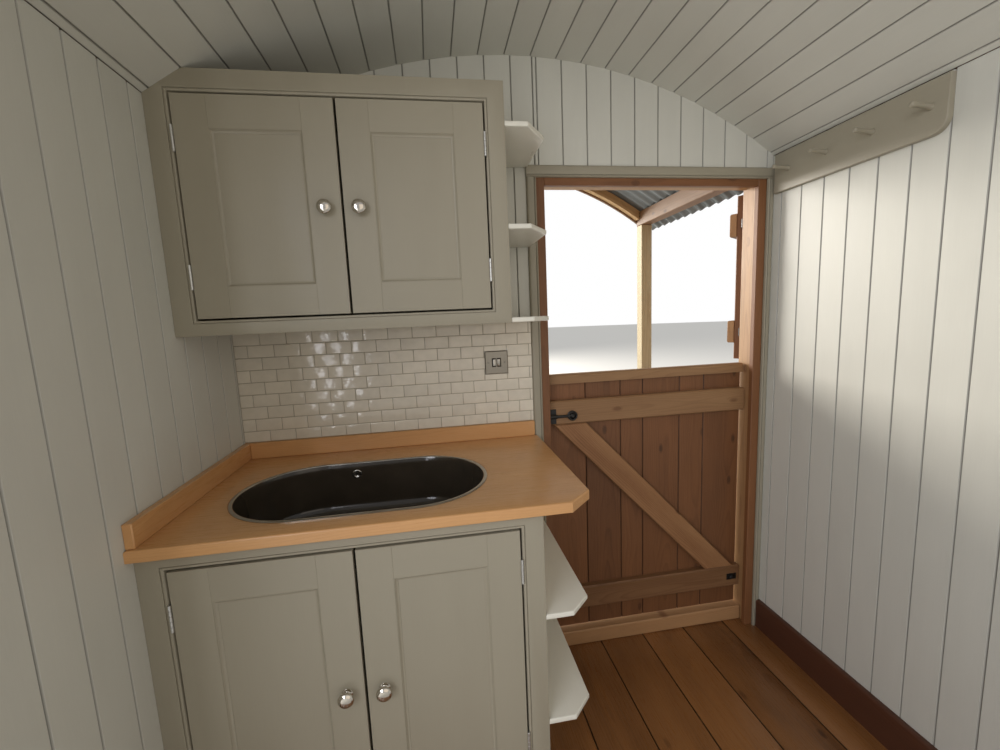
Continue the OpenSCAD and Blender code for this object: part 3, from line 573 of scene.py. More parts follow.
class HUT_OT_finishes(bpy.types.Operator):
    """Mixes the paints, stains, glazes and metals"""
    bl_idname = "hut.finishes"
    bl_label = "Finishes"

    def execute(self, context):
        c = context.scene.hut_colours
        # Paint: a soft low sheen, darker in the joints with dust and painted shade.
        painted("eggshell_painted_pine", c.wall, rough=0.42, joint_dust_and_shade=0.68)
        painted("eggshell_painted_joinery", c.joinery, rough=0.40, joint_dust_and_shade=0.30, spread=0.02)
        painted("satin_painted_shelf", c.shelf, rough=0.32, joint_dust_and_shade=0.2, spread=0.03)
        # Larch: close rings and small knots, under stain, bare of it, or under oil and made
        # lighter with painted daylight.
        timber("stained_larch", c.door_pale, c.door_dark, ring=0.0040, rings=0.16,
               knots=0.5)
        timber("weathered_larch", c.ledge_pale, c.ledge_dark, ring=0.0040, rough=0.58,
               rings=0.18, patchy=0.45)
        # Larch of the jambs and head behind the stops, lighter than the stained stops: painted
        # daylight on the reveal.
        timber("oiled_larch_jamb", c.jamb_pale, c.jamb_dark, rough=0.5, rings=0.2,
               knots=0.3, patchy=0.5)
        # Pine: wide rings, glossy and uneven under varnish, dull on the deck.
        timber("varnished_pine_floor", c.floor_pale, c.floor_dark, ring=0.0050, rough=0.30,
               knots=0.4, rings=0.14, fibres=0.30, patchy=0.65, spread=0.35, coat=0.25,
               seam_dust_and_shade=0.95)
        timber("oiled_pine_deck", c.floor_pale, c.floor_dark, ring=0.0050, rough=0.70,
               knots=0.4, rings=0.14, patchy=0.55)
        # Hardwood: even, with fine rings and no knots, and a thin shine of oil.
        timber("oiled_hardwood", c.top_pale, c.top_dark, ring=0.0030, rough=0.30,
               knots=0.0, rings=0.12, fibres=0.28, relief=0.0001, spread=0.15, coat=0.20)
        timber("stained_skirting", c.skirting_pale, c.skirting_dark, rough=0.38, knots=0.3,
               rings=0.15)
        # Framing timber: pale and dull, with the saw's coarse relief.
        timber("treated_softwood", c.post_pale, c.post_dark, rough=0.62, relief=0.0004)
        timber("sawn_softwood", c.frame_pale, c.frame_dark, rough=0.75, relief=0.0006)
        timber("stained_outside_board", c.outside_pale, c.outside_dark, rough=0.6,
               relief=0.0004)
        # Glaze and enamel: a hard shine on a face that waves a little; grout: chalky.
        surface("glazed_earthenware", c.tile, 0.07, mark=0.07, size=30.0, relief=0.0010)
        surface("cement_grout", c.grout, 0.85, mark=0.12, size=400.0, relief=0.0003)
        surface("vitreous_enamel", c.sink, 0.12, mark=0.15, size=18.0, relief=0.0003)
        # Metals: mirror-like where polished, streaked where brushed, dull on the roof.
        for name, code, rough, mark, size, streak in (
                ("bright_steel", "#B7B3AB", 0.20, 0.05, 60.0, 1.0),
                ("polished_nickel", "#CFC9BE", 0.09, 0.05, 90.0, 1.0),
                ("brushed_steel", "#B9B5AC", 0.30, 0.10, 500.0, 12.0),
                ("satin_nickel_plate", "#938E84", 0.33, 0.10, 500.0, 12.0),
                ("hinge_steel", "#A39D90", 0.28, 0.10, 200.0, 1.0)):
            surface(name, linear(code), rough, mark, size, streak=streak, metal=1.0)
        surface("galvanised_sheet", c.sheet, 0.48, mark=0.22, size=22.0, relief=0.0003,
                streak=4.0, metal=0.6)
        # Baked black on iron: no shine to speak of, and rough to the touch.
        surface("japanned_iron", c.iron, 0.42, mark=0.25, size=160.0, relief=0.0003)
        # Black plastic for the socket's insert, also laid as painted shade under the plate's
        # edge and in the screw slots.
        surface("moulded_black_plastic", linear("#26221F"), 0.35, mark=0.05)
        return {"FINISHED"}


# Floor, walls and roof

class HUT_OT_floor(bpy.types.Operator):
    """Lays the floor boards and the porch deck"""
    bl_idname = "hut.floor"
    bl_label = "Floor"

    def execute(self, context):
        sizes = context.scene.hut_sizes
        floor, low, high = start("floor_boards", "floor_board_set", "varnished_pine_floor")
        lines = joint_lines(0.295, sizes.floor_cover, low.x, high.x, least=0.03)
        for a, b in zip(lines, lines[1:]):
            a, b = a + 0.0005, b - 0.0005
            outline = [(a, -ROOM), (b, -ROOM)]
            right, left = min(b, JAMB_R), max(a, JAMB_L)
            if right > left:
                if b > right:
                    outline += [(b, LINING), (right, LINING)]
                outline += [(right, END_OUT), (left, END_OUT)]
                if a < left:
                    outline += [(left, LINING), (a, LINING)]
            else:
                outline += [(b, LINING), (a, LINING)]
            floor.stock(Y, Z).slab(outline, low.z, high.z, arris=0.003, steps=2, arris_dust_and_shade=1.0)
        floor.done("floor_timber")
        deck, low, high = start("porch_deck", "porch_deck_set", "oiled_pine_deck")
        lines = joint_lines(0.0, sizes.deck_cover, low.x, high.x, least=0.04)
        spans = [(a + 0.0025, b - 0.0025) for a, b in zip(lines, lines[1:])]
        deck.row(spans, low, high, "y", 0.003, arris_dust_and_shade=0.8).done("floor_timber")
        return {"FINISHED"}


class HUT_OT_linings(bpy.types.Operator):
    """Boards the side walls, the end wall and the arched ceiling"""
    bl_idname = "hut.linings"
    bl_label = "Linings and ceiling"

    def execute(self, context):
        cover = context.scene.hut_sizes.lining_cover
        joint = context.scene.hut_sizes.lining_joint
        paint = "eggshell_painted_pine"
        walls = start("side_wall_linings", "side_wall_boards", paint)[0]
        for side, origin in ((-1, -0.017), (1, -0.045)):
            walls.matched(joint_lines(origin, cover, -ROOM, LINING), LINING, joint,
                          lambda s, d, top: (side * (HALF + d), s,
                                             arch_height(HALF + d, ARCH_R) if top else FLOOR),
                          Z, -side * X)
        walls.done("wall_paint")
        end = start("end_wall_linings", "end_wall_boards", paint)[0]
        for low, high, foot in ((-HALF, JAMB_L - FIT, FLOOR), (JAMB_L, HALF, HEAD_TOP)):
            end.matched(joint_lines(-0.393, cover, low, high), LINING, joint,
                        lambda s, d, top: (s, d, arch_height(s, BOW_R) if top else foot),
                        Z, -Y)
        end.done("wall_paint")
        ceiling = start("ceiling_lining", "ceiling_boards", paint)[0]
        reach = ARCH_R * math.asin(HALF / ARCH_R)
        ceiling.matched(joint_lines(-0.046, cover, -reach, reach), LINING, joint,
                        lambda s, d, far: arch_point(ARCH_R + d, s / ARCH_R,
                                                     0 if far else -ROOM),
                        Y, lambda s: Vector((0, 0, ARCH_Z)) - arch_point(1, s / ARCH_R, 0))
        ceiling.done("wall_paint")
        return {"FINISHED"}


class HUT_OT_outside(bpy.types.Operator):
    """Boards the outside of the side walls and of the end wall"""
    bl_idname = "hut.outside"
    bl_label = "Outside boards"

    def execute(self, context):
        cover = context.scene.hut_sizes.clad_cover
        stain = "stained_outside_board"
        sides, low, high = start("side_wall_cladding", "side_outside_boards", stain)
        for side in (-1, 1):
            sides.matched(joint_lines(-0.5, cover, low.y, high.y), CLAD, 0.004,
                          lambda s, d, top: (side * (high.x - d), s,
                                             high.z if top else low.z), Z, side * X)
        sides.done("outside_timber")
        end, low, high = start("end_wall_cladding", "end_outside_boards", stain)
        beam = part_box("eaves_beams")[0].z
        for lines, foot, head in (
                (joint_lines(0.0, cover, -STUD_OUT, JAMB_L - FIT), low.z, None),
                (joint_lines(0.0, cover, JAMB_L, STUD_IN), HEAD_TOP, None),
                ([JAMB_R + FIT, STUD_OUT], low.z, HEAD_TOP - FIT),
                ([STUD_IN, STUD_OUT], HEAD_TOP, beam)):
            def spot(s, d, top):
                if not top:
                    return s, END_OUT - d, foot
                if head is not None:
                    return s, END_OUT - d, head
                under = arch_height(s, ROOF_R)
                return s, END_OUT - d, beam if s < -STUD_IN - 0.0005 else under
            end.matched(lines, CLAD, 0.004, spot, Z, Y)
        end.done("outside_timber")
        return {"FINISHED"}


class HUT_OT_frames(bpy.types.Operator):
    """Sets up the bearers, joists, studs and plates"""
    bl_idname = "hut.frames"
    bl_label = "Frames"

    def execute(self, context):
        bearers, low, high = start("floor_bearers", "long_bearers", "sawn_softwood")
        spans = [(x, x + 0.075) for x in (low.x, -0.0375, high.x - 0.075)]
        bearers.row(spans, low, high, "y", 0.003).done("frame_timber")
        joists = start("floor_joists", "joist_set", "sawn_softwood")[0]
        for first, last, top in ((-ROOM, END_STUD, JOIST_TOP),
                                 (END_OUT, PORCH, DECK - 0.020)):
            count = math.ceil((last - first) / 0.270)
            for i in range(count + 1):
                y = first + i * (last - first - STUD) / count
                joists.board((-STUD_OUT, y, 0.070), (STUD_OUT, y + STUD, top), "x", 0.002)
        joists.done("frame_timber")
        studs, low, high = start("side_wall_frames", "side_stud_frames", "sawn_softwood")
        for side in (-1, 1):
            inner, outer = sorted((side * STUD_IN, side * STUD_OUT))
            for foot in (low.z, high.z - STUD):
                studs.board((inner, low.y, foot), (outer, high.y, foot + STUD), "y", 0.002)
            for i in range(4):
                y = low.y + i * (high.y - low.y - STUD) / 3
                studs.board((inner, y, low.z + STUD), (outer, y + STUD, high.z - STUD), "z",
                            0.002)
        studs.done("frame_timber")
        wall = start("end_wall_frame", "end_stud_frame", "sawn_softwood")[0]
        step = (JAMB_L + STUD_IN - 4 * STUD) / 3 + STUD
        uprights = [(-STUD_IN + i * step, -STUD_IN + i * step + STUD) for i in range(4)]
        under = ROOF_R - 0.090
        for a, b in uprights + [(JAMB_R, STUD_IN)]:
            corners = ((a, LINING), (b, LINING), (b, END_STUD), (a, END_STUD))
            wall.stock(Z, Y).run(corners, lambda x, y, top: (
                x, y, arch_height(x, under) if top else JOIST_TOP), (0, 1))
        wall.board((-STUD_IN + STUD, LINING, JOIST_TOP + 0.0005),
                   (JAMB_L - STUD, END_STUD, JOIST_TOP + STUD), "x")
        wall.board((JAMB_L, LINING, HEAD_TOP), (STUD_IN - STUD, END_STUD, HEAD_TOP + STUD),
                   "x")
        wall.arched(under, FRAMES_TOP, LINING, END_STUD, STUD_IN)
        wall.done("frame_timber")
        return {"FINISHED"}


class HUT_OT_roof(bpy.types.Operator):
    """Bends the bows and lays the corrugated sheet"""
    bl_idname = "hut.roof"
    bl_label = "Roof"

    def execute(self, context):
        bows = start("roof_bows", "bent_bows", "sawn_softwood")[0]
        for y in (-ROOM, -(ROOM + STUD) / 2, -STUD, END_OUT, PORCH - STUD):
            for k in range(3):
                bows.arched(BOW_R + 0.015 * k, BOW_R + 0.015 * (k + 1), y, y + STUD,
                            STUD_IN - 0.004, ease=0.0012)
        bows.done("frame_timber")
        sheet, low, high = start("roof_sheet", "corrugated_sheet", "galvanised_sheet")
        wave, deep = context.scene.hut_sizes.wave, high.y - low.y
        count = round(deep / 0.076)
        reach = math.asin((high.x - 0.002) / (ROOF_R + wave))
        edge = []
        for i in range(8 * count + 1):
            rise = wave / 2 * (1 - math.cos(math.pi * i / 4))
            edge.append((ROOF_R + 0.0008 + rise, low.y + deep * i / (8 * count)))
        edge += [(r + 0.0012, y) for r, y in reversed(edge)]
        sheet.stock(X, Z).loft([[arch_point(r, reach * (k / 24 - 1), y) for r, y in edge]
                                for k in range(49)], bent=True)
        sheet.done("roof_metal", smooth=50)
        return {"FINISHED"}


class HUT_OT_porch(bpy.types.Operator):
    """Raises the posts, the eaves beams and the arched fascia"""
    bl_idname = "hut.porch"
    bl_label = "Porch"

    def execute(self, context):
        posts, low, high = start("porch_posts", "post_pair", "treated_softwood")
        spans = [(x, x + 0.070) for x in (low.x, high.x - 0.070)]
        posts.row(spans, low, high, "z", 0.004).done("post_timber")
        beams, low, high = start("eaves_beams", "eaves_beam_pair", "stained_outside_board")
        for side in (-1, 1):
            inner, outer, c = side * STUD_IN, side * STUD_OUT, 0.003
            section = [(inner + side * c, low.z), (outer - side * c, low.z),
                       (outer, low.z + c), (outer, arch_height(outer, ROOF_R)),
                       (inner, arch_height(inner, ROOF_R)), (inner, low.z + c)]
            beams.stock(Y, X).run(section, lambda x, z, y: (x, y, z), (low.y, high.y))
        beams.done("frame_timber")
        fascia, low, high = start("porch_fascia", "arched_fascia", "stained_outside_board")
        fascia.arched(BOW_R - 0.008, FRAMES_TOP, low.y + 0.0005, high.y, high.x - 0.004,
                      ease=0.003)
        fascia.done("outside_timber")
        return {"FINISHED"}


# The doorway and its two leaves

class HUT_OT_door_frame(bpy.types.Operator):
    """Fits the jambs, the head, the sill and the painted trim"""
    bl_idname = "hut.door_frame"
    bl_label = "Door frame"

    def execute(self, context):
        jambs = start("door_frame", "jambs_head_and_sill", "oiled_larch_jamb",
                      "weathered_larch", "stained_larch")[0]
        # The parts behind the stops take the lighter larch, which is painted daylight on the
        # reveal; the stops' room faces stay stained.
        for low, high, along, finish in (
                ((JAMB_L, 0, FLOOR), (OPEN_L, STOP, HEAD_TOP), "z", 2),
                ((JAMB_L, STOP, FLOOR), (FRAME_L, END_OUT, HEAD_TOP), "z", 0),
                ((OPEN_R, 0, FLOOR), (JAMB_R, STOP, HEAD_TOP), "z", 2),
                ((FRAME_R, STOP, FLOOR), (JAMB_R, END_OUT, HEAD_TOP), "z", 0),
                ((OPEN_L, 0, OPEN_TOP), (OPEN_R, STOP, HEAD_TOP), "x", 2),
                ((FRAME_L, STOP, OPEN_TOP + 0.012), (FRAME_R, END_OUT, HEAD_TOP), "x", 0),
                ((FRAME_L, 0.042, FLOOR), (FRAME_R, END_OUT, FLOOR + 0.065), "x", 1)):
            jambs.board(low, high, along, 0.004 if finish == 1 else 0.0018, finish)
        jambs.done("door_timber")
        trim, low, high = start("door_trim", "painted_door_trim",
                                "eggshell_painted_joinery")
        for foot, way, wide in ((JAMB_L, -1, JAMB_L - low.x), (JAMB_R, 1, HALF - JAMB_R)):
            trim.stock(Z, -Y).run(self.ovolo(wide, -low.y),
                                  lambda u, t, z: (foot + way * u, -t, z),
                                  (FLOOR, TRIM_LOW))
        trim.stock(X, -Y).run(self.ovolo(high.z - TRIM_LOW, -low.y),
                              lambda u, t, x: (x, -t, TRIM_LOW + u), (low.x, HALF))
        trim.done("cupboard_paint")
        return {"FINISHED"}

    @staticmethod
    def ovolo(wide, thick):
        """A trim's section: a bead beside the opening, a quirk, a flat and a round."""
        section = [(0.0, 0.0), (0.0, thick - 0.0045), (0.0014, thick - 0.0015),
                   (0.0040, thick), (0.0066, thick - 0.0015), (0.0078, thick - 0.0050),
                   (0.0088, thick - 0.0050), (0.0092, thick - 0.0012),
                   (0.0104, thick - 0.0008)]
        return section + arc(wide - 0.008, thick - 0.0088, 0.008, 1, 0, 5) + [(wide, 0.0)]


def leaf_timber(piece, foot, head, joints, chamfer):
    """The upright boards of a leaf, with chamfered joints on both faces."""
    piece.matched([LEAF_L] + joints + [LEAF_R], END_OUT - BOARD_IN, chamfer,
                  lambda s, d, top: (s, BOARD_IN + d, head if top else foot),
                  Z, -Y, bare=True, back=chamfer)


def ledge_timber(piece, z, finish=0, tone=0.5, c=0.005):
    """A ledge across a leaf, its room edges chamfered."""
    piece.stock(X, -Y, finish).shade = tone
    section = [(BOARD_IN, z), (LEDGE_IN + c, z), (LEDGE_IN, z + c), (LEDGE_IN, z + LEDGE - c),
               (LEDGE_IN + c, z + LEDGE), (BOARD_IN, z + LEDGE)]
    piece.slab(section, LEAF_L, LEAF_R, ACROSS["x"], arris=0.0015, arris_dust_and_shade=0.3)


def band_iron(piece, z):
    """A cranked band over the leaf, with its bolts and with an eye round the pin."""
    piece.stock(X, Y)
    tip, c, strip = LEAF_R - 0.330, 0.0008, []
    for x, half, lift in ((tip, 0.004, 0), (tip + 0.005, 0.0105, 0), (tip + 0.014, 0.013, 0),
                          (tip + 0.060, 0.014, 0), (LEAF_R - 0.003, 0.0175, 0),
                          (LEAF_R + 0.002, 0.0175, 0.001), (PIN_X - 0.004, 0.018, 0.001)):
        low, high = END_OUT + lift, END_OUT + lift + 0.004
        strip.append([(x, y, z + up) for y, up in
                      ((low, -half), (high - c, -half), (high, c - half), (high, half - c),
                       (high - c, half), (low, half))])
    piece.loft(strip)
    eye = [(0.0052, -0.018), (0.0090, -0.0175), (0.0090, 0.0175), (0.0052, 0.018)]
    piece.loft([[(PIN_X + x, PIN_Y + y, z + up) for x, y in circle(r, 40)]
                for r, up in eye + eye[:1]], ends=False)
    for x in (0.030, 0.120, 0.210, 0.290):
        piece.turned([(0.0085, -0.001), (0.0085, 0.001), (0.0065, 0.0032), (0.003, 0.0045),
                      (0, 0.0048)], standing_out((tip + x, END_OUT + 0.004, z), -90), 20)


class HUT_OT_lower_leaf(bpy.types.Operator):
    """Builds the lower leaf: boards, ledges, brace, cap, bands and latch"""
    bl_idname = "hut.lower_leaf"
    bl_label = "Lower leaf"

    def execute(self, context):
        body = "lower_door"
        boards, low, high = start("lower_door_boards", "lower_leaf_boards", "stained_larch")
        leaf_timber(boards, low.z, high.z, [0.254, 0.406, 0.505, 0.672, 0.784],
                    context.scene.hut_sizes.leaf_joint)
        boards.done("door_timber", body)
        ledges, low, high = start("lower_door_ledges", "lower_leaf_ledges",
                                  "weathered_larch")
        upper, lower_top = high.z - LEDGE_DROP, low.z + LEDGE
        ledge_timber(ledges, low.z, tone=1.6)
        ledge_timber(ledges, upper, tone=0.4)
        ledges.stock(Vector((LEAF_R - LEAF_L - 0.2, 0, lower_top - upper)), -Y).shade = 1.6
        ledges.slab([(LEAF_L + 0.030, upper), (LEAF_R - 0.167, lower_top),
                     (LEAF_R - 0.030, lower_top), (LEAF_L + 0.167, upper)],
                    0.0, BOARD_IN - LEDGE_IN, facing((0, BOARD_IN, 0)), arris=0.004,
                    arris_dust_and_shade=0.25)
        y0, y1, z0, z1, r = BOARD_IN - 0.016, END_OUT, high.z - 0.038, high.z, 0.009
        cap = [(y0, z0), (y1, z0), *arc(y1 - r, z1 - r, r, 0, 1, 6),
               *arc(y0 + r, z1 - r, r, 1, 2, 6)]
        ledges.stock(X, -Y).slab(cap, LEAF_L, LEAF_R, ACROSS["x"], arris=0.0015, arris_dust_and_shade=0.3)
        ledges.done("door_timber", body)
        irons = start("lower_door_irons", "lower_leaf_irons", "japanned_iron")[0]
        for z in (low.z, upper):
            band_iron(irons, z + LEDGE / 2)
        self.latch(irons, LEAF_L + 0.006, upper + 0.035)
        self.washer(irons, LEAF_R - 0.036, low.z + LEDGE / 2)
        irons.done("black_iron", body)
        return {"FINISHED"}

    @staticmethod
    def washer(piece, x, z):
        """The plate and nut of the band's bolts on the room side."""
        plate = rectangle(x - 0.026, x + 0.020, z - 0.014, z + 0.014)
        piece.stock(X, -Y).slab(plate, 0.0, 0.003, facing((0, LEDGE_IN, 0)), arris=0.0008)
        piece.turned([(0.008, 0), (0.008, 0.005), (0.006, 0.007), (0, 0.007)],
                     standing_out((x - 0.006, LEDGE_IN - 0.003, z)), 6)

    @staticmethod
    def latch(piece, x, z):
        """A keeper plate, a round bar and a ring handle on its rose."""
        plate = rectangle(x, x + 0.034, z - 0.030, z + 0.030)
        piece.stock(X, -Y).slab(plate, 0.0, 0.003, facing((0, LEDGE_IN, 0)))
        for up in (-0.022, 0.022):
            piece.turned([(0.0035, 0), (0.0030, 0.0012), (0, 0.0016)],
                         standing_out((x + 0.017, LEDGE_IN - 0.003, z + up)), 14)
        piece.loft([[(x + along, LEDGE_IN - 0.008 + 0.75 * y, z + up)
                     for y, up in circle(wide, 20)] for along, wide in
                    ((0.006, 0.006), (0.008, 0.0085), (0.034, 0.0085), (0.040, 0.0060),
                     (0.092, 0.0055), (0.100, 0.0075))])
        rose = standing_out((x + 0.100, LEDGE_IN, z))
        piece.turned([(0.020, 0.0), (0.020, 0.0025), (0.017, 0.004), (0.010, 0.005),
                      (0.0085, 0.009), (0.0085, 0.012), (0.006, 0.0138), (0, 0.014)],
                     rose, 36)
        piece.loft([[rose @ Vector((cos * (0.0165 + u), sin * (0.0165 + u), 0.0095 + v))
                     for u, v in circle(0.0034, 12)] for cos, sin in arc(0, 0, 1, 0, 4, 40)],
                   ends=False)


class HUT_OT_upper_leaf(bpy.types.Operator):
    """Builds the upper leaf as it stands open, with its bands and the hooks"""
    bl_idname = "hut.upper_leaf"
    bl_label = "Upper leaf and hooks"

    def execute(self, context):
        pin = Vector((PIN_X, PIN_Y, 0))
        opened = (Matrix.Translation(pin) @ Matrix.Rotation(math.radians(-145), 4, "Z")
                  @ Matrix.Translation(-pin))
        leaf, low, high = start("upper_door_leaf", "upper_leaf_timber", "stained_larch",
                                "weathered_larch", place=opened)
        bands = [low.z + 0.120, high.z - 0.120]
        leaf_timber(leaf, low.z, high.z, [0.231, 0.381, 0.531, 0.681, 0.831],
                    context.scene.hut_sizes.leaf_joint)
        for z in bands:
            ledge_timber(leaf, z - LEDGE / 2, finish=1)
        leaf.done("door_timber")
        irons = start("upper_door_irons", "upper_leaf_irons", "japanned_iron",
                      place=opened)[0]
        for z in bands:
            band_iron(irons, z)
        irons.done("black_iron")
        hooks = start("door_hooks", "hook_set", "japanned_iron")[0]
        low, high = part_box("lower_door_ledges")
        for z in [low.z + LEDGE / 2, high.z - LEDGE_DROP + LEDGE / 2] + bands:
            hooks.stock(Z, Y)
            x = PIN_X + 0.012
            hooks.board((x, END_OUT, z - 0.036), (x + 0.030, END_OUT + 0.004, z + 0.024),
                        "z", 0.0008, fresh=False)
            hooks.board((PIN_X - 0.003, END_OUT, z - 0.032),
                        (x + 0.001, END_OUT + 0.015, z - 0.0184), "x", 0.0012, fresh=False)
            hooks.turned([(0.005, -0.032), (0.005, 0.020), (0.0035, 0.022)],
                         Matrix.Translation((PIN_X, PIN_Y, z)), 24)
            for up in (-0.026, 0.014):
                hooks.turned([(0.006, 0), (0.005, 0.002), (0, 0.003)],
                             standing_out((x + 0.016, END_OUT + 0.004, z + up), -90), 16)
        hooks.done("black_iron")
        return {"FINISHED"}


# The kitchen

def panel_door(which, body):
    """A framed door: stiles, rails, a mitred moulding and a sunk panel."""
    door, low, high = start(f"{which}_door", f"{which}_panel_door",
                            "eggshell_painted_joinery")
    w, t, sunk = 0.082, 0.020, 0.013
    a0, a1, b0, b1 = low.x, high.x, low.z, high.z
    front = facing((0, low.y + t, 0))
    for grain, *edges in ((Z, a0, a0 + w, b0, b1), (Z, a1 - w, a1, b0, b1),
                          (X, a0 + w, a1 - w, b0, b0 + w),
                          (X, a0 + w, a1 - w, b1 - w, b1)):
        door.stock(grain, -Y).slab(rectangle(*edges), 0.0, t, front, arris=0.0006)
    inner = rectangle(a0 + w, a1 - w, b0 + w, b1 - w)
    door.stock(Z, -Y).slab(inset(inner, -0.002), 0.001, sunk, front, arris=0.0)
    section = [(0.0, sunk - 0.001), (0.0, t - 0.0016), (0.0012, t - 0.0012),
               (0.0022, t - 0.0022), (0.0040, t - 0.0040), (0.0062, t - 0.0052),
               (0.0080, t - 0.0056), (0.0088, t - 0.0060), (0.0090, sunk - 0.001)]
    door.stock(Z, -Y).moulded(inner, section, front)
    door.done("cupboard_paint", body)


def knob_turning(which, body):
    """A mushroom knob of polished nickel on its rose."""
    knob, low, high = start(f"{which}_knob", f"{which}_turned_knob", "polished_nickel")
    middle = (low + high) / 2
    profile = [(0.0129, 0.0), (0.0129, 0.0018), (0.0115, 0.0026), (0.0088, 0.0032),
               (0.0072, 0.0050), (0.0066, 0.0080), (0.0070, 0.0110), (0.0090, 0.0145),
               (0.0130, 0.0163), *arc(0.014, 0.021, 0.005, -75 / 90, 75 / 90, 10)]
    profile += [(r, 0.0262 + 0.0036 * math.sqrt(1 - (r / 0.0155) ** 2))
                for r in (0.0140, 0.0125, 0.0105, 0.0080, 0.0055, 0.0030, 0.0010)]
    knob.stock(Z, -Y).turned(profile, standing_out((middle.x, high.y, middle.z)), 64)
    knob.done("knob_nickel", body, smooth=60)


class HUT_OT_cupboard_doors(bpy.types.Operator):
    """Makes the four framed doors with their knobs"""
    bl_idname = "hut.cupboard_doors"
    bl_label = "Cupboard doors and knobs"

    def execute(self, context):
        for which in ("base_left", "base_right", "wall_left", "wall_right"):
            panel_door(which, f"{which}_leaf")
            knob_turning(which, f"{which}_leaf")
        return {"FINISHED"}


def under_ceiling(low, high, clear, by=0.0):
    """A box's front, smaller by an amount, with the corner that the ceiling cuts off."""
    x0, x1, z0, z1 = low.x + by, high.x - by, low.z + by, high.z - by
    radius = ARCH_R - clear
    meet = -math.sqrt(radius ** 2 - (z1 - ARCH_Z) ** 2)
    if meet <= x0:
        return rectangle(x0, x1, z0, z1)
    return [(x0, z0), (x1, z0), (x1, z1)] + [
        (x, arch_height(x, radius)) for x in (meet + (x0 - meet) * k / 6 for k in range(7))]


def beaded_frame(node_name, name, foot, head, bead):
    """A face frame under the ceiling, with a quirked bead round its opening."""
    piece, low, high = start(node_name, name, "eggshell_painted_joinery")
    t, q = high.y - low.y, 0.0009
    front = facing((0, high.y, 0))
    wide = inset(rectangle(low.x + STILE, high.x - STILE, foot, head), -bead)
    piece.stock(Z, -Y).slab(under_ceiling(low, high, FIT), 0.0, t, front, holes=[wide],
                            steps=2)
    section = [(q, 0.0), (q, t - 0.0030), (q + 0.0006, t - 0.0010), (0.0026, t - 0.0001),
               (0.0042, t), (0.0058, t - 0.0003), (bead - 0.0008, t - 0.0014),
               (bead, t - 0.0030), (bead, 0.0)]
    piece.stock(Z, -Y).moulded(wide, section, front)
    back = [(0.0, 0.0), (0.0, t - 0.0030), (q, t - 0.0030), (q, 0.0)]
    piece.moulded(wide, back, front)
    piece.done("cupboard_paint")


def end_shelves(unit, name, clip_x, clip_y, tops):
    """Open end shelves with the outer corner cut off and the edges rounded."""
    shelves, low, high = start(f"{unit}_end_shelves", name, "satin_painted_shelf")
    outline = [(low.x, -FIT), (low.x, low.y), (high.x - clip_x, low.y),
               (high.x, low.y + clip_y)]
    if high.x > TRIM_X:
        outline += [(high.x, TRIM_Y), (TRIM_X, TRIM_Y), (TRIM_X, -FIT)]
    else:
        outline += [(high.x, -FIT)]
    for top in tops:
        shelves.stock(Y, Z).slab(outline, FLOOR + top - SHELF, FLOOR + top, arris=0.004,
                                 steps=4)
    shelves.done("shelf_paint")


class HUT_OT_base_unit(bpy.types.Operator):
    """Builds the base unit's carcass, face frame and open end shelves"""
    bl_idname = "hut.base_unit"
    bl_label = "Base unit"

    def execute(self, context):
        carcass, low, high = start("base_carcass", "base_unit_carcass",
                                   "satin_painted_shelf")
        left, right = low.x + CARCASS, high.x - CARCASS
        carcass.row(((low.x, left), (right, high.x)), low, high, "z", 0.0006)
        carcass.board((left, low.y, BASE_LOW - CARCASS), (right, high.y - 0.009, BASE_LOW),
                      "x", 0.0006)
        carcass.board((left, high.y - 0.0087, low.z), (right, high.y, high.z), "z", 0.0004)
        carcass.done("shelf_paint")
        beaded_frame("base_face_frame", "base_unit_face_frame", BASE_LOW, BASE_HIGH,
                     context.scene.hut_sizes.bead)
        end_shelves("base", "base_unit_end_shelves", 0.056, 0.056, (0.357, 0.658))
        return {"FINISHED"}


class HUT_OT_wall_cupboard(bpy.types.Operator):
    """Builds the wall cupboard's carcass, face frame and open end shelves"""
    bl_idname = "hut.wall_cupboard"
    bl_label = "Wall cupboard"

    def execute(self, context):
        beaded_frame("wall_cupboard_face_frame", "wall_cupboard_beaded_frame", WALL_LOW,
                     WALL_HIGH, context.scene.hut_sizes.bead)
        body, low, high = start("wall_cupboard_carcass", "wall_cupboard_body",
                                "eggshell_painted_joinery")
        back = facing((0, high.y, 0))
        outer = under_ceiling(low, high, FIT)
        inner = under_ceiling(low, high, CARCASS, CARCASS)
        body.stock(Z, -Y).slab(outer, CARCASS, high.y - low.y - 0.0002, back, holes=[inner],
                               arris=0.0005)
        body.stock(Z, -Y).slab(outer, 0.0, CARCASS - 0.0002, back, arris=0.0005)
        body.done("cupboard_paint")
        end_shelves("wall", "wall_cupboard_end_shelves", 0.070, 0.095,
                    (1.413, 1.679, 1.955))
        return {"FINISHED"}


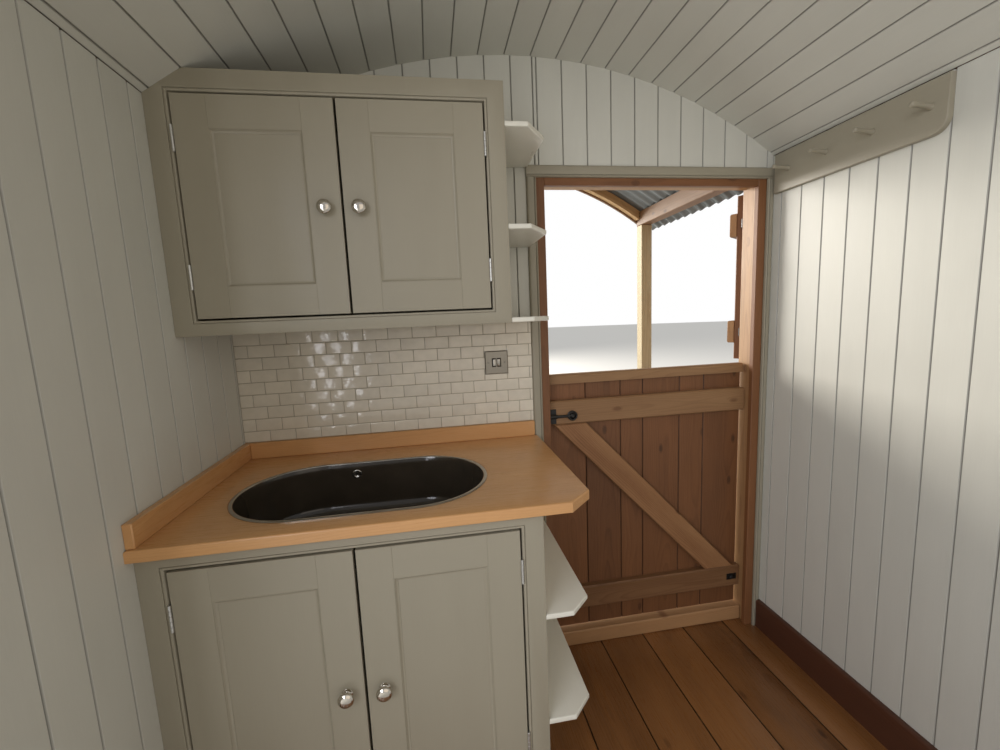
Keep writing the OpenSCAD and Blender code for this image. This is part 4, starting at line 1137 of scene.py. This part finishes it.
class HUT_OT_hinges(bpy.types.Operator):
    """Fits the butt hinges of both units"""
    bl_idname = "hut.hinges"
    bl_label = "Butt hinges"

    def execute(self, context):
        hinges = start("cupboard_hinges", "butt_hinge_set", "hinge_steel")[0]
        for unit, foot, head in (("base", BASE_LOW, BASE_HIGH),
                                 ("wall", WALL_LOW, WALL_HIGH)):
            left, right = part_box(f"{unit}_left_door"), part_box(f"{unit}_right_door")
            for x, side in ((left[0].x - 0.005, 1), (right[1].x + 0.005, -1)):
                for z in (foot + 0.112, head - 0.112):
                    self.butt(hinges, x, side, left[0].y, z)
        hinges.done("hinge_steel")
        return {"FINISHED"}

    @staticmethod
    def butt(piece, x, side, front, z):
        """A hinge's five knuckles on their pin, and its leaf against the stile."""
        piece.stock(Z, -Y)
        pin = Matrix.Translation((x + side * 0.0025, front - 0.003, z))
        half = 0.032
        for k in range(5):
            a, b = (half * (2 * (k + end) / 5 - 1) for end in (0, 1))
            a, b = a + 0.0003, b - 0.0003
            piece.turned([(0.0030, a), (0.0034, a + 0.0005), (0.0034, b - 0.0005),
                          (0.0030, b)], pin, 20)
        piece.turned([(0.0020, -half), (0.0020, half)], pin, 12)
        x0, x1 = sorted((x + side * 0.0001, x + side * 0.0015))
        piece.board((x0, front - 0.002, z - half), (x1, front + 0.018, z + half), "z",
                    0.0002, fresh=False)


class HUT_OT_worktop(bpy.types.Operator):
    """Cuts the worktop round the sink and sets its upstands"""
    bl_idname = "hut.worktop"
    bl_label = "Worktop"

    def execute(self, context):
        top, low, high = start("worktop", "worktop_slab", "oiled_hardwood")
        middle = sum(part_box("sink_bowl"), Vector()) / 2
        hole = [(middle.x + x, middle.y + y) for x, y in stadium(0.674, 0.393)]
        outline = [(low.x, -FIT), (low.x, low.y), (high.x - 0.066, low.y),
                   (high.x, low.y + 0.066), (high.x, TRIM_Y), (TRIM_X, TRIM_Y),
                   (TRIM_X, -FIT)]
        top.stock(X, Z).slab(outline, TOP_Z - 0.028, TOP_Z, holes=[hole], arris=0.005,
                             steps=4, under=0.002)
        thick, up = 0.020, TOP_Z + 0.056
        top.board((low.x + thick, -thick, TOP_Z), (TRIM_X - 0.0002, -FIT, up), "x", 0.002)
        top.board((low.x, low.y + 0.006, TOP_Z), (low.x + thick, -FIT, up), "y", 0.002)
        top.done("worktop_timber")
        return {"FINISHED"}


class HUT_OT_sink(bpy.types.Operator):
    """Presses the sink bowl with its bright rim, waste and overflow"""
    bl_idname = "hut.sink"
    bl_label = "Sink"

    def execute(self, context):
        sink, low, high = start("sink_bowl", "sink_with_waste", "vitreous_enamel",
                                "bright_steel")
        middle, w, d = (low + high) / 2, high.x - low.x, high.y - low.y
        place = Matrix.Translation((middle.x, middle.y, TOP_Z))

        def rings(section):
            return [[place @ Vector((*p, z)) for p in stadium(w - 2 * a, d - 2 * a, 32)]
                    for a, z in section]

        rim = [(0.0, 0.0003), (0.0, 0.0016), (0.0012, 0.0026), (0.003, 0.0030),
               (0.008, 0.0030), (0.0105, 0.0022), (0.0115, 0.0006), (0.0115, -0.004),
               (0.0105, -0.004), (0.0100, 0.0003)]
        sink.stock(X, Z, 1).loft(rings(rim + rim[:1]), ends=False)
        inner = [(0.0118, 0.0006), (0.0130, -0.003), (0.0150, -0.020), (0.0180, -0.060),
                 (0.0215, -0.100), *arc(0.0685, -0.117, 0.045, 2, 3, 8)]
        outer = [(a - 0.0025, z - 0.0025 * (z < -0.1)) for a, z in reversed(inner)]
        bowl, under = rings(inner), rings(outer)
        sink.stock(X, Z, 0).loft(bowl + bowl[-1:], ends=False)
        floor = [tuple(range(len(bowl[-1])))]
        sink.add(bowl[-1], floor).loft(under, ends=False).add(under[0], floor)
        waste = place @ Matrix.Translation((0, -0.0658, -0.162))
        sink.stock(X, Z, 1)
        sink.turned([(0.030, 0.0002), (0.043, 0.0002), (0.045, 0.0012), (0.043, 0.0024),
                     (0.036, 0.0016), (0.031, -0.0010), (0.030, -0.0035)], waste, 48)
        sink.turned([(0.020, -0.002), (0.021, 0.0022), (0.019, 0.0040), (0.010, 0.0058),
                     (0, 0.0062)], waste, 40)
        sink.turned([(0.045, -0.011), (0.049, -0.010), (0.049, -0.003), (0.045, -0.002)],
                    waste, 40)
        sink.turned([(0.0005, 0.0), (0.014, 0.0), (0.015, 0.001), (0.014, 0.002),
                     (0.009, 0.0016), (0.008, 0.0010)],
                    place @ standing_out((-0.057, d / 2 - 0.0165, -0.034)), 32)
        sink.done("sink_enamel", smooth=50)
        return {"FINISHED"}


class HUT_OT_tiles(bpy.types.Operator):
    """Sets the glazed tiles in their grout"""
    bl_idname = "hut.tiles"
    bl_label = "Tiles"

    def execute(self, context):
        sizes = context.scene.hut_sizes
        tiles, low, high = start("tiled_splashback", "brick_tiles", "glazed_earthenware",
                                 "cement_grout")
        tiles.board((low.x, low.y + 0.0022, low.z), (high.x, high.y, high.z), "x", 0.0005,
                    finish=1)
        long, tall, half = sizes.tile_long, sizes.tile_high, sizes.grout / 2
        for row in range(math.ceil((high.z - low.z) / tall)):
            z1 = high.z - row * tall
            z0 = max(z1 - tall, low.z)
            x = low.x - (long / 2 if row % 2 else 0)
            while x < high.x:
                a, b = max(x, low.x), min(x + long, high.x)
                if min(b - a, z1 - z0) > 0.006:
                    self.tile(tiles, rectangle(a + half, b - half, z0 + half, z1 - half),
                              low.y)
                x += long
        tiles.done("tile_glaze", smooth=40)
        return {"FINISHED"}

    @staticmethod
    def tile(piece, outline, front):
        """One tile: a soft edge, a face that is not quite flat and a slight tilt."""
        piece.stock(X, -Y)
        pick = piece.chance.uniform
        lean_x, lean_z = pick(-0.004, 0.004), pick(-0.006, 0.006)
        mid_x, mid_z = ((outline[0][i] + outline[2][i]) / 2 for i in (0, 1))
        piece.loft([[(x, front + depth + (x - mid_x) * lean_x + (z - mid_z) * lean_z, z)
                     for x, z in inset(outline, amount)] for amount, depth in
                    ((0, 0.0045), (0, 0.0016), (0.0005, 0.0010), (0.0014, 0.0006),
                     (0.0030, 0.0004))])


class HUT_OT_socket(bpy.types.Operator):
    """Fits the square plate with its two rockers"""
    bl_idname = "hut.socket"
    bl_label = "Socket plate"

    def execute(self, context):
        plate, low, high = start("socket_plate", "bevelled_socket_plate",
                                 "satin_nickel_plate", "moulded_black_plastic",
                                 "brushed_steel")
        mid, s, t = (low + high) / 2, 0.043, 0.007
        front = facing((mid.x, high.y, mid.z))
        square = rectangle(-s, s, -s, s)
        wells = [rectangle(a, a + 0.013, -0.0135, 0.0135) for a in (-0.0145, 0.0015)]
        plate.stock(X, -Y).slab(square, 0.0012, t, front, holes=wells, arris=0.0030,
                                under=0.0)
        # A black layer under the plate shows as a dark line at its foot: painted shade.
        plate.stock(X, -Y, 1).slab(inset(square, 0.0008), 0.0, 0.0012, front, arris=0.0002)
        plate.slab(rectangle(-0.0155, 0.0155, -0.0145, 0.0145), 0.0014, t - 0.0030, front,
                   arris=0.0002)
        for side in (-1, 1):
            rocker = front @ Matrix.Translation((side * 0.008, 0, t)) @ Matrix.Rotation(
                math.radians(side * 5), 4, "X")
            plate.stock(Z, -Y, 2).slab(rectangle(-0.0050, 0.0050, -0.0120, 0.0120), -0.003,
                                       0.0016, rocker, arris=0.0008, steps=2)
            screw = front @ Matrix.Translation((side * 0.0302, 0, t))
            plate.stock(Z, -Y, 0).turned([(0.0034, -0.001), (0.0034, 0.0004),
                                          (0.0028, 0.0010), (0, 0.0012)], screw, 20)
            # A black bar across each screw head stands for its slot: painted shade.
            plate.stock(Z, -Y, 1).slab(rectangle(-0.0028, 0.0028, -0.0005, 0.0005), 0.0009,
                                       0.0014, screw @ Matrix.Rotation(side * 0.6, 4, "Z"),
                                       arris=0.0001)
        plate.done("plate_steel")
        return {"FINISHED"}


class HUT_OT_peg_rail(bpy.types.Operator):
    """Fits the painted rail with its turned pegs"""
    bl_idname = "hut.peg_rail"
    bl_label = "Peg rail"

    def execute(self, context):
        rail, low, high = start("peg_rail", "painted_peg_rail", "eggshell_painted_joinery")
        r = 0.040
        outline = [(high.y, low.z), (high.y, high.z), (low.y, high.z),
                   *arc(low.y + r, low.z + r, r, 2, 3, 10)]
        rail.stock(Y, -X).slab([(-y, z) for y, z in outline], 0.0, 0.0177,
                               facing((HALF - FIT, 0, 0), -Y), arris=0.0030, steps=3,
                               under=0.0)
        profile = [(0.0095, -0.001), (0.0095, 0.002), (0.0080, 0.0045), (0.0068, 0.008),
                   (0.0062, 0.020), (0.0060, 0.038), (0.0063, 0.046), (0.0070, 0.052),
                   (0.0074, 0.0565), (0.0074, 0.0600), (0.0066, 0.0635), (0.0045, 0.0652),
                   (0, 0.0657)]
        for k in range(4):
            peg = Matrix.Translation((HALF - 0.018, -0.091 - k * 0.156, low.z + 0.075))
            rail.stock(X, Z).turned(profile, peg @ Matrix.Rotation(math.radians(-86), 4,
                                                                   "Y"), 28)
        rail.done("cupboard_paint", smooth=45)
        return {"FINISHED"}


class HUT_OT_skirting(bpy.types.Operator):
    """Fits the stained skirting"""
    bl_idname = "hut.skirting"
    bl_label = "Skirting"

    def execute(self, context):
        board, low, high = start("skirting", "stained_skirting_board", "stained_skirting")
        r = 0.009
        section = [(high.x, low.z), (low.x, low.z),
                   *arc(low.x + r, high.z - r, r, 2, 1, 8), (high.x, high.z)]
        board.stock(Y, -X).run(section, lambda x, z, y: (x, y, z), (low.y, high.y))
        board.done("skirting_timber")
        return {"FINISHED"}


# The stage

class HUT_OT_stage(bpy.types.Operator):
    """Sets the camera, the lamps, the world and the pale floor"""
    bl_idname = "hut.stage"
    bl_label = "Stage"

    def execute(self, context):
        scene = context.scene
        scene.view_settings.view_transform = "Standard"
        self.camera(scene)
        self.world(scene)
        self.ground(scene)
        for name, place, target, size, power, colour in (
                ("tall_window", (-1.40, -3.2, 1.7), (0.5, 0.0, 1.6), (0.16, 2.0), 7.0,
                 "#F7F8FF"),
                ("side_window", (-2.3, -3.1, 2.3), (0.9, -0.3, 1.6), (1.6, 1.6), 42.0,
                 "#F4F6FF"),
                ("sky_before_porch", (-5.4, 12.6, 4.6), (0.9, -0.4, 1.2), (9.0, 5.0), 3000.0,
                 "#FFF9F0"),
                ("soft_fill", (0.6, -3.4, 2.0), (-0.2, 0.0, 1.2), (2.4, 2.0), 9.0,
                 "#FFEBD2"),
                ("high_sky", (-1.5, 4.0, 5.0), (0.0, 0.0, 0.0), None, 0.95, "#FFFFFF")):
            lamp = bpy.data.lights.new(name, "AREA" if size else "SUN")
            if size:
                lamp.shape, lamp.size, lamp.size_y = "RECTANGLE", size[0], size[1]
            else:
                lamp.angle = math.radians(50)
            lamp.energy, lamp.color = power, linear(colour)
            light = bpy.data.objects.new(name, lamp)
            light.location = place
            light.rotation_euler = (Vector(target) - Vector(place)).to_track_quat(
                "-Z", "Y").to_euler()
            light.visible_camera = False
            scene.collection.objects.link(light)
        return {"FINISHED"}

    @staticmethod
    def camera(scene):
        """The photograph's view, worked back from the lines of the boards."""
        place = Matrix.Translation((-0.3530, -1.5903, 1.5714))
        for degrees, axis in ((-8.805, "Z"), (90 - 7.466, "X"), (-2.479, "Z")):
            place = place @ Matrix.Rotation(math.radians(degrees), 4, axis)
        lens = bpy.data.cameras.new("photograph_camera")
        lens.sensor_width, lens.lens, lens.clip_start = 36.0, 15.55, 0.02
        camera = bpy.data.objects.new("photograph_camera", lens)
        camera.matrix_world = place
        scene.collection.objects.link(camera)
        scene.camera = camera

    @staticmethod
    def world(scene):
        """A soft pale surround that the camera sees as white."""
        scene.world = bpy.data.worlds.new("soft_surround")
        scene.world.use_nodes = True
        tree = scene.world.node_tree
        tree.nodes.clear()
        seen = node(tree, "LightPath").outputs["Is Camera Ray"]
        strength = node(tree, "MapRange", Value=seen, To_Min=0.49, To_Max=1.0)
        glow = node(tree, "Background", Color=linear("#FFFFFF", 1), Strength=strength)
        node(tree, "OutputWorld", Surface=glow)

    @staticmethod
    def ground(scene):
        """A plain pale floor, wide enough for every view."""
        finish("pale_stage_floor", Roughness=0.85, Base_Color=linear("#DAD9D5", 1))
        mesh = bpy.data.meshes.new("stage_floor")
        mesh.from_pydata([(*p, -0.0005) for p in circle(60.0, 64)], [], [tuple(range(64))])
        mesh.materials.append(bpy.data.materials["pale_stage_floor"])
        floor = bpy.data.objects.new("stage_floor", mesh)
        scene.collection.objects.link(floor)


OPERATORS = (HUT_OT_finishes, HUT_OT_floor, HUT_OT_linings, HUT_OT_outside, HUT_OT_frames,
             HUT_OT_roof, HUT_OT_porch, HUT_OT_door_frame, HUT_OT_lower_leaf,
             HUT_OT_upper_leaf, HUT_OT_base_unit, HUT_OT_wall_cupboard,
             HUT_OT_cupboard_doors, HUT_OT_hinges, HUT_OT_worktop, HUT_OT_sink,
             HUT_OT_tiles, HUT_OT_socket, HUT_OT_peg_rail, HUT_OT_skirting, HUT_OT_stage)


class HUT_PT_panel(bpy.types.Panel):
    """Lists the hut's sizes, colours and operators"""
    bl_idname = "HUT_PT_panel"
    bl_label = "Shepherds hut bay"
    bl_space_type = "VIEW_3D"
    bl_region_type = "UI"
    bl_category = "Hut"

    def draw(self, context):
        layout = self.layout
        for group in (context.scene.hut_sizes, context.scene.hut_colours):
            for name in group.__annotations__:
                layout.prop(group, name)
        for operator in OPERATORS:
            layout.operator(operator.bl_idname)


CLASSES = (HutSizes, HutColours) + OPERATORS + (HUT_PT_panel,)


def register():
    for item in CLASSES:
        bpy.utils.register_class(item)
    bpy.types.Scene.hut_sizes = bpy.props.PointerProperty(type=HutSizes)
    bpy.types.Scene.hut_colours = bpy.props.PointerProperty(type=HutColours)


def unregister():
    del bpy.types.Scene.hut_colours
    del bpy.types.Scene.hut_sizes
    for item in reversed(CLASSES):
        bpy.utils.unregister_class(item)


def main():
    """Builds everything."""
    register()
    for operator in OPERATORS:
        group, name = operator.bl_idname.split(".")
        getattr(getattr(bpy.ops, group), name)()


if __name__ == "__main__":
    main()
